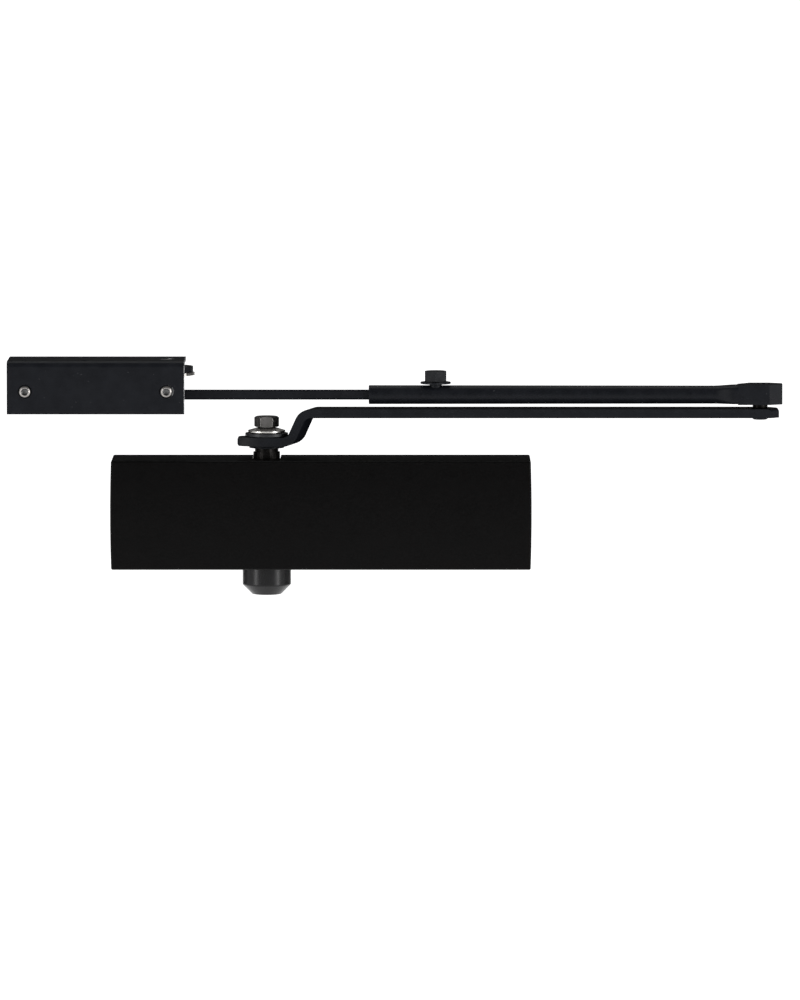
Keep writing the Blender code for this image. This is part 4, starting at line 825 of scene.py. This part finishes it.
def make_tube():
    """The drawn tube: open and round at the left, swaged up to the end block's section at the right."""
    low, high = extent("forearm_tube", AT_ELBOW)
    block = extent("forearm_end", AT_ELBOW)[1]
    block_top, block_side = block.z - 0.7 * MM, block.y + 0.05 * MM
    inside_block = high.x + 1.2 * MM
    radius, height = high.y, (low.z + high.z) / 2
    swage, lip, taper, seam_width, seam_height = 14 * MM, 0.4 * MM, 0.25 * MM, 0.3 * MM, 0.09 * MM
    squareness, sides, swage_steps = 4, 64, 10
    seam_at = high.x - swage - 0.4 * MM
    stations = [low.x, low.x + 0.15 * MM, low.x + lip, low.x + 40 * MM, low.x + 120 * MM]
    stations += [seam_at - seam_width, seam_at, seam_at + seam_width]
    stations += [high.x - swage * (1 - i / swage_steps) for i in range(swage_steps + 1)] + [inside_block]
    bm = bmesh.new()
    rings = []
    for along in stations:
        worn = max(0.0, lip - (along - low.x)) * 0.7
        seam = seam_height if abs(along - seam_at) < SAME_PLACE else 0.0
        base = radius - taper * (along - low.x) / (high.x - low.x) - worn + seam
        t = min(1.0, max(0.0, (along - high.x + swage) / swage))
        t = t * t * (3 - 2 * t)
        power = 2 / (2 + squareness * t)
        wide = base + t * (block_side - base)
        ring = []
        for k in range(sides):
            turn = 2 * math.pi * k / sides
            c, s = math.cos(turn), math.sin(turn)
            tall = base + t * (block_top - height - base) if s > 0 else base
            y = wide * math.copysign(abs(c) ** power, c)
            z = height + tall * math.copysign(abs(s) ** power, s)
            ring.append(bm.verts.new((along, y, z)))
        rings.append(ring)
    for along in (inside_block, low.x):
        rings.append([bm.verts.new((along, y, height + z)) for y, z in circle(TUBE_BORE, sides)])
    for first, second in zip(rings, rings[1:] + rings[:1]):
        for k in range(sides):
            m = (k + 1) % sides
            bm.faces.new((first[k], first[m], second[m], second[k]))
    tube = object_from("forearm_tube_drawn", bm, BLACK, BLACK_EDGE)
    clamp = AT_CLAMP.translation.x - AT_ELBOW.translation.x
    boolean(tube, drill(3.6 * MM, height, height + THROUGH, (clamp, 0, 0)))
    finish_shape(tube, AT_ELBOW, "forearm", "forearm_tube", angle=35)


make_ring(
    "elbow_spacer_ring", "elbow_spacer", AT_ELBOW, "forearm",
    ELBOW_HOLE, 0.3 * MM, BLACKENED, steps=48,
)
make_elbow_pin()
make_end_block()
make_tube()
make_bolt("clamp_bolt_head", "clamp_bolt", AT_CLAMP, "clamp", "arm_black", 3.5 * MM, 90, BLACK, BLACK_EDGE)
make_ring(
    "clamp_washer_disc", "clamp_washer", AT_CLAMP, "clamp", 3.65 * MM, 0.3 * MM, BLACK_EDGE
)


# ---------------------------------------------------------------- adjusting rod and cam


refine("adjusting_rod", "rod", 0.25 * MM, BLACK, BLACK_EDGE, place=AT_ROD)
refine("cam_washer", "rod", 0.25 * MM, NICKEL, NICKEL_EDGE, place=AT_ROD)
refine("hold_open_cam", "rod", 0.4 * MM, BLACK, BLACK_EDGE, place=AT_ROD)


# ---------------------------------------------------------------- bracket


def make_housing():
    """Folded sheet: a top with four screw holes and the pivot's hole, and a front with two grooves."""
    low, high = extent("bracket_housing", AT_BRACKET)
    sheet, bend = 2.3 * MM, 3.5 * MM
    centre = (low.y + bend, high.z - bend)
    outline = [
        (high.y, high.z),
        *arc(centre, bend, 90, 180, 16),
        (low.y, low.z),
        (low.y + sheet, low.z),
        *arc(centre, bend - sheet, 180, 90, 16),
        (high.y, high.z - sheet),
    ]
    materials = (BLACK, BLACK_EDGE, CUT_EDGE_AND_HIGHLIGHT)
    housing = prism("bracket_housing_sheet", outline, low.x, high.x, *materials, plane="YZ")
    screws = [(x, y, 2.6 * MM) for x in (-78 * MM, -45 * MM) for y in (-12.4 * MM, 12.4 * MM)]
    pivot = (0, 0, 4.2 * MM)
    for x, y, radius in (*screws, pivot):
        boolean(housing, drill(radius, 80 * MM, 90 * MM, (x, y, 0), steps=40))
    for side in ("left", "right"):
        near, far = extent("bracket_rivet_" + side, AT_BRACKET)
        centre = ((near.x + far.x) / 2, low.y, (near.z + far.z) / 2)
        rim = (far.x - near.x) / 2
        profile = ring_profile(1.9 * MM, rim + 0.55 * MM, -1 * MM, 0.5 * MM)
        # The groove round each rivet is in the painted shade black: a ring of painted shadow round the head.
        groove = turned("groove", profile, PAINTED_SHADE_BLACK, steps=48, axis="Y", centre=centre, soften=0)
        boolean(housing, groove, shared=True)
    worn, cut = 1, 2
    soften_edges(housing, 0.4 * MM, 3, 40, worn)
    # The right end's rounded edges take the bare cut metal, lighter there as a painted highlight along that
    # end.
    for polygon in housing.data.polygons:
        at_right_end = abs(polygon.normal.x) > 0.2 and polygon.center.x > 0
        if polygon.material_index == worn and at_right_end:
            polygon.material_index = cut
    finish_shape(housing, AT_BRACKET, "bracket", "bracket_housing", angle=30)


def make_rivet(side):
    """A rivet with a dimpled head in front and a clenched tail behind the sheet."""
    node = "bracket_rivet_" + side
    low, high = extent(node, AT_BRACKET)
    centre = ((low.x + high.x) / 2, low.y, (low.z + high.z) / 2)
    radius, depth = (high.x - low.x) / 2, high.y - low.y
    head, shank, tail, dimple = 1.2 * MM, 1.8 * MM, 0.8 * MM, 1.95 * MM
    profile = [
        (0, 0.85 * MM),
        (1.2 * MM, 0.8 * MM),
        (1.9 * MM, 0.1 * MM),
        (2.3 * MM, 0),
        (radius - 0.25 * MM, 0.45 * MM),
        (radius, 0.9 * MM),
        (radius, head),
        (shank, head),
        (shank, depth - tail),
        (shank + 1 * MM, depth - tail),
        (shank + 0.6 * MM, depth),
        (0, depth),
    ]
    rivet = turned(node + "_clench", profile, RIVET_RIM, RIVET_DIMPLE_SHADE, steps=48, axis="Y", centre=centre)
    # The dimple in the head takes the darker metal: painted shade in the hollow.
    for polygon in rivet.data.polygons:
        across = Vector((polygon.center.x - centre[0], polygon.center.z - centre[2]))
        if polygon.center.y < centre[1] + 1 * MM and across.length < dimple:
            polygon.material_index = 1
    finish_shape(rivet, AT_BRACKET, "bracket", node, angle=60)


make_housing()
make_rivet("left")
make_rivet("right")
refine("hold_open_frame", "bracket", 0.3 * MM, STEEL, STEEL_EDGE, place=AT_BRACKET)
refine("plunger_guide", "bracket", 0.3 * MM, STEEL, STEEL_EDGE, place=AT_BRACKET)


# ---------------------------------------------------------------- springs


def make_spring(node, body):
    """A spring: its CAD node's coils, shaded, tied to its body and given a mesh of its own."""
    coils = copy_of_node(node + "_coils", node, AT_ORIGIN, DRAWN_STEEL)
    finish_shape(coils, AT_ORIGIN, body, node, angle=60)
    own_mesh(coils)


make_spring("outer_closing_spring", "casing")
make_spring("inner_closing_spring", "casing")
make_spring("hold_open_spring", "bracket")


# ---------------------------------------------------------------- pieces shown with the CAD's own faces


CARRIED = {
    "end_plug_left": STEEL,
    "end_plug_right": STEEL,
    "end_plug_left_seal": RUBBER,
    "end_plug_right_seal": RUBBER,
    "upper_bearing_bush": BRONZE,
    "lower_bearing_bush": BRONZE,
    "upper_shaft_seal": RUBBER,
    "lower_shaft_seal": RUBBER,
    "upper_bearing_nut": BLACKENED,
    "lower_bearing_nut": STEEL,
    "closing_speed_valve": BRASS,
    "closing_valve_seal": RUBBER,
    "latching_speed_valve": BRASS,
    "latching_valve_seal": RUBBER,
    "piston": STEEL,
    "check_valve_ball": NICKEL,
    "check_valve_retainer": BRASS,
    "pinion_shaft": BLACKENED,
    "pivot_pin": STEEL,
    "pivot_washer": BRONZE,
    "plunger": STEEL,
    "roller_pin": STEEL,
    "hold_open_roller": NICKEL,
    "hold_open_adjuster": STEEL,
}
for node, material in CARRIED.items():
    mesh = frame["nodes"][node].data
    mesh.materials.clear()
    mesh.materials.append(material)


# ---------------------------------------------------------------- studio


def make_floor():
    """A pale floor, far enough below to keep clear of every pose. It glows, as a lit sweep does."""
    size, drop, glow = 30, 0.25, 0.97
    bm = bmesh.new()
    bmesh.ops.create_grid(bm, x_segments=1, y_segments=1, size=size)
    bmesh.ops.translate(bm, verts=bm.verts, vec=(0, 0, cad_box[0].z - drop))
    paint = Paint("studio_floor", 0.9, 0.0, 0.1)
    paint.shader.inputs["Base Color"].default_value = (0.9, 0.9, 0.9, 1)
    paint.shader.inputs["Emission Color"].default_value = (1, 1, 1, 1)
    paint.shader.inputs["Emission Strength"].default_value = glow
    floor = object_from("studio_floor", bm, paint.material)


def make_world():
    """A white studio that is bright all round at eye level and dimmer overhead, so that black stays black."""
    world = bpy.data.worlds.new("studio")
    bpy.context.scene.world = world
    world.use_nodes = True
    tree = world.node_tree
    background = tree.nodes["Background"]
    where = tree.nodes.new("ShaderNodeTexCoord").outputs["Generated"]
    split = tree.nodes.new("ShaderNodeSeparateXYZ")
    tree.links.new(where, split.inputs["Vector"])
    level = tree.nodes.new("ShaderNodeMapRange")
    level.interpolation_type = "SMOOTHSTEP"
    tree.links.new(split.outputs["Z"], level.inputs["Value"])
    for key, value in (("From Min", 0.07), ("From Max", 0.4), ("To Min", 1.0), ("To Max", 0.25)):
        level.inputs[key].default_value = value
    tree.links.new(level.outputs["Result"], background.inputs["Strength"])
    background.inputs["Color"].default_value = (1, 1, 1, 1)


def area_light(name, location, target, size, power):
    data = bpy.data.lights.new(name, "AREA")
    data.shape = "RECTANGLE"
    data.size, data.size_y = size
    data.energy = power
    light = bpy.data.objects.new(name, data)
    bpy.context.scene.collection.objects.link(light)
    light.location = location
    light.rotation_euler = (Vector(target) - Vector(location)).to_track_quat("-Z", "Y").to_euler()


def make_lights():
    aim = (0.06, -0.02, 0.02)
    area_light("left_softbox", (-1.5, -1.2, 0.35), aim, (0.5, 1.4), 20)
    area_light("right_softbox", (1.6, -1.15, 0.3), aim, (0.5, 1.4), 26)
    area_light("overhead", (0.05, 0.45, 1.3), aim, (1.6, 0.7), 7)


def make_flags():
    """Dark studio flags that only reflections see, so that gloss on black stays low."""
    paint = Paint("flag_cloth", 1.0, 0.0, 0.0)
    weave = paint.noise(5 * MM, 2.0)
    paint.colour(paint.mix(weave, (0.012, 0.012, 0.012), (0.02, 0.02, 0.02)))
    far = 2.6
    ring = bmesh.new()
    bmesh.ops.create_cone(ring, cap_ends=False, segments=48, radius1=far, radius2=far, depth=1.3)
    bmesh.ops.translate(ring, verts=ring.verts, vec=(0, 0, 0.69))
    flags = [object_from("flag_ring", ring, paint.material)]
    low, top, near, panels = cad_box[0].z - 0.2, 0.9, 1.25, 12
    for name, start, end in (("flag_right", 4, 62), ("flag_left", 128, 166)):
        side = bmesh.new()
        feet = arc((0.06, 0), near, start, end, panels)
        lower = [side.verts.new((x, y, low)) for x, y in feet]
        upper = [side.verts.new((x, y, top)) for x, y in feet]
        for k in range(panels):
            side.faces.new((lower[k], lower[k + 1], upper[k + 1], upper[k]))
        flags.append(object_from(name, side, paint.material))
    for flag in flags:
        for ray in ("camera", "diffuse", "shadow", "transmission", "volume_scatter"):
            setattr(flag, "visible_" + ray, False)


def make_camera():
    """A long lens a little above the closer, facing its cover."""
    elevation, distance, sensor = math.radians(5), 5.0, 36.0
    tall_view = 0.5623
    target = Vector((0.0746, 0.0, 0.0048))
    data = bpy.data.cameras.new("studio_camera")
    data.sensor_width = sensor
    data.lens = sensor * distance / tall_view
    data.clip_end = 100
    camera = bpy.data.objects.new("studio_camera", data)
    bpy.context.scene.collection.objects.link(camera)
    back = Vector((0, -math.cos(elevation), math.sin(elevation)))
    camera.location = target + back * distance
    camera.rotation_euler = (-back).to_track_quat("-Z", "Y").to_euler()
    bpy.context.scene.camera = camera


make_floor()
make_world()
make_lights()
make_flags()
make_camera()
bpy.context.scene.view_settings.view_transform = "Standard"
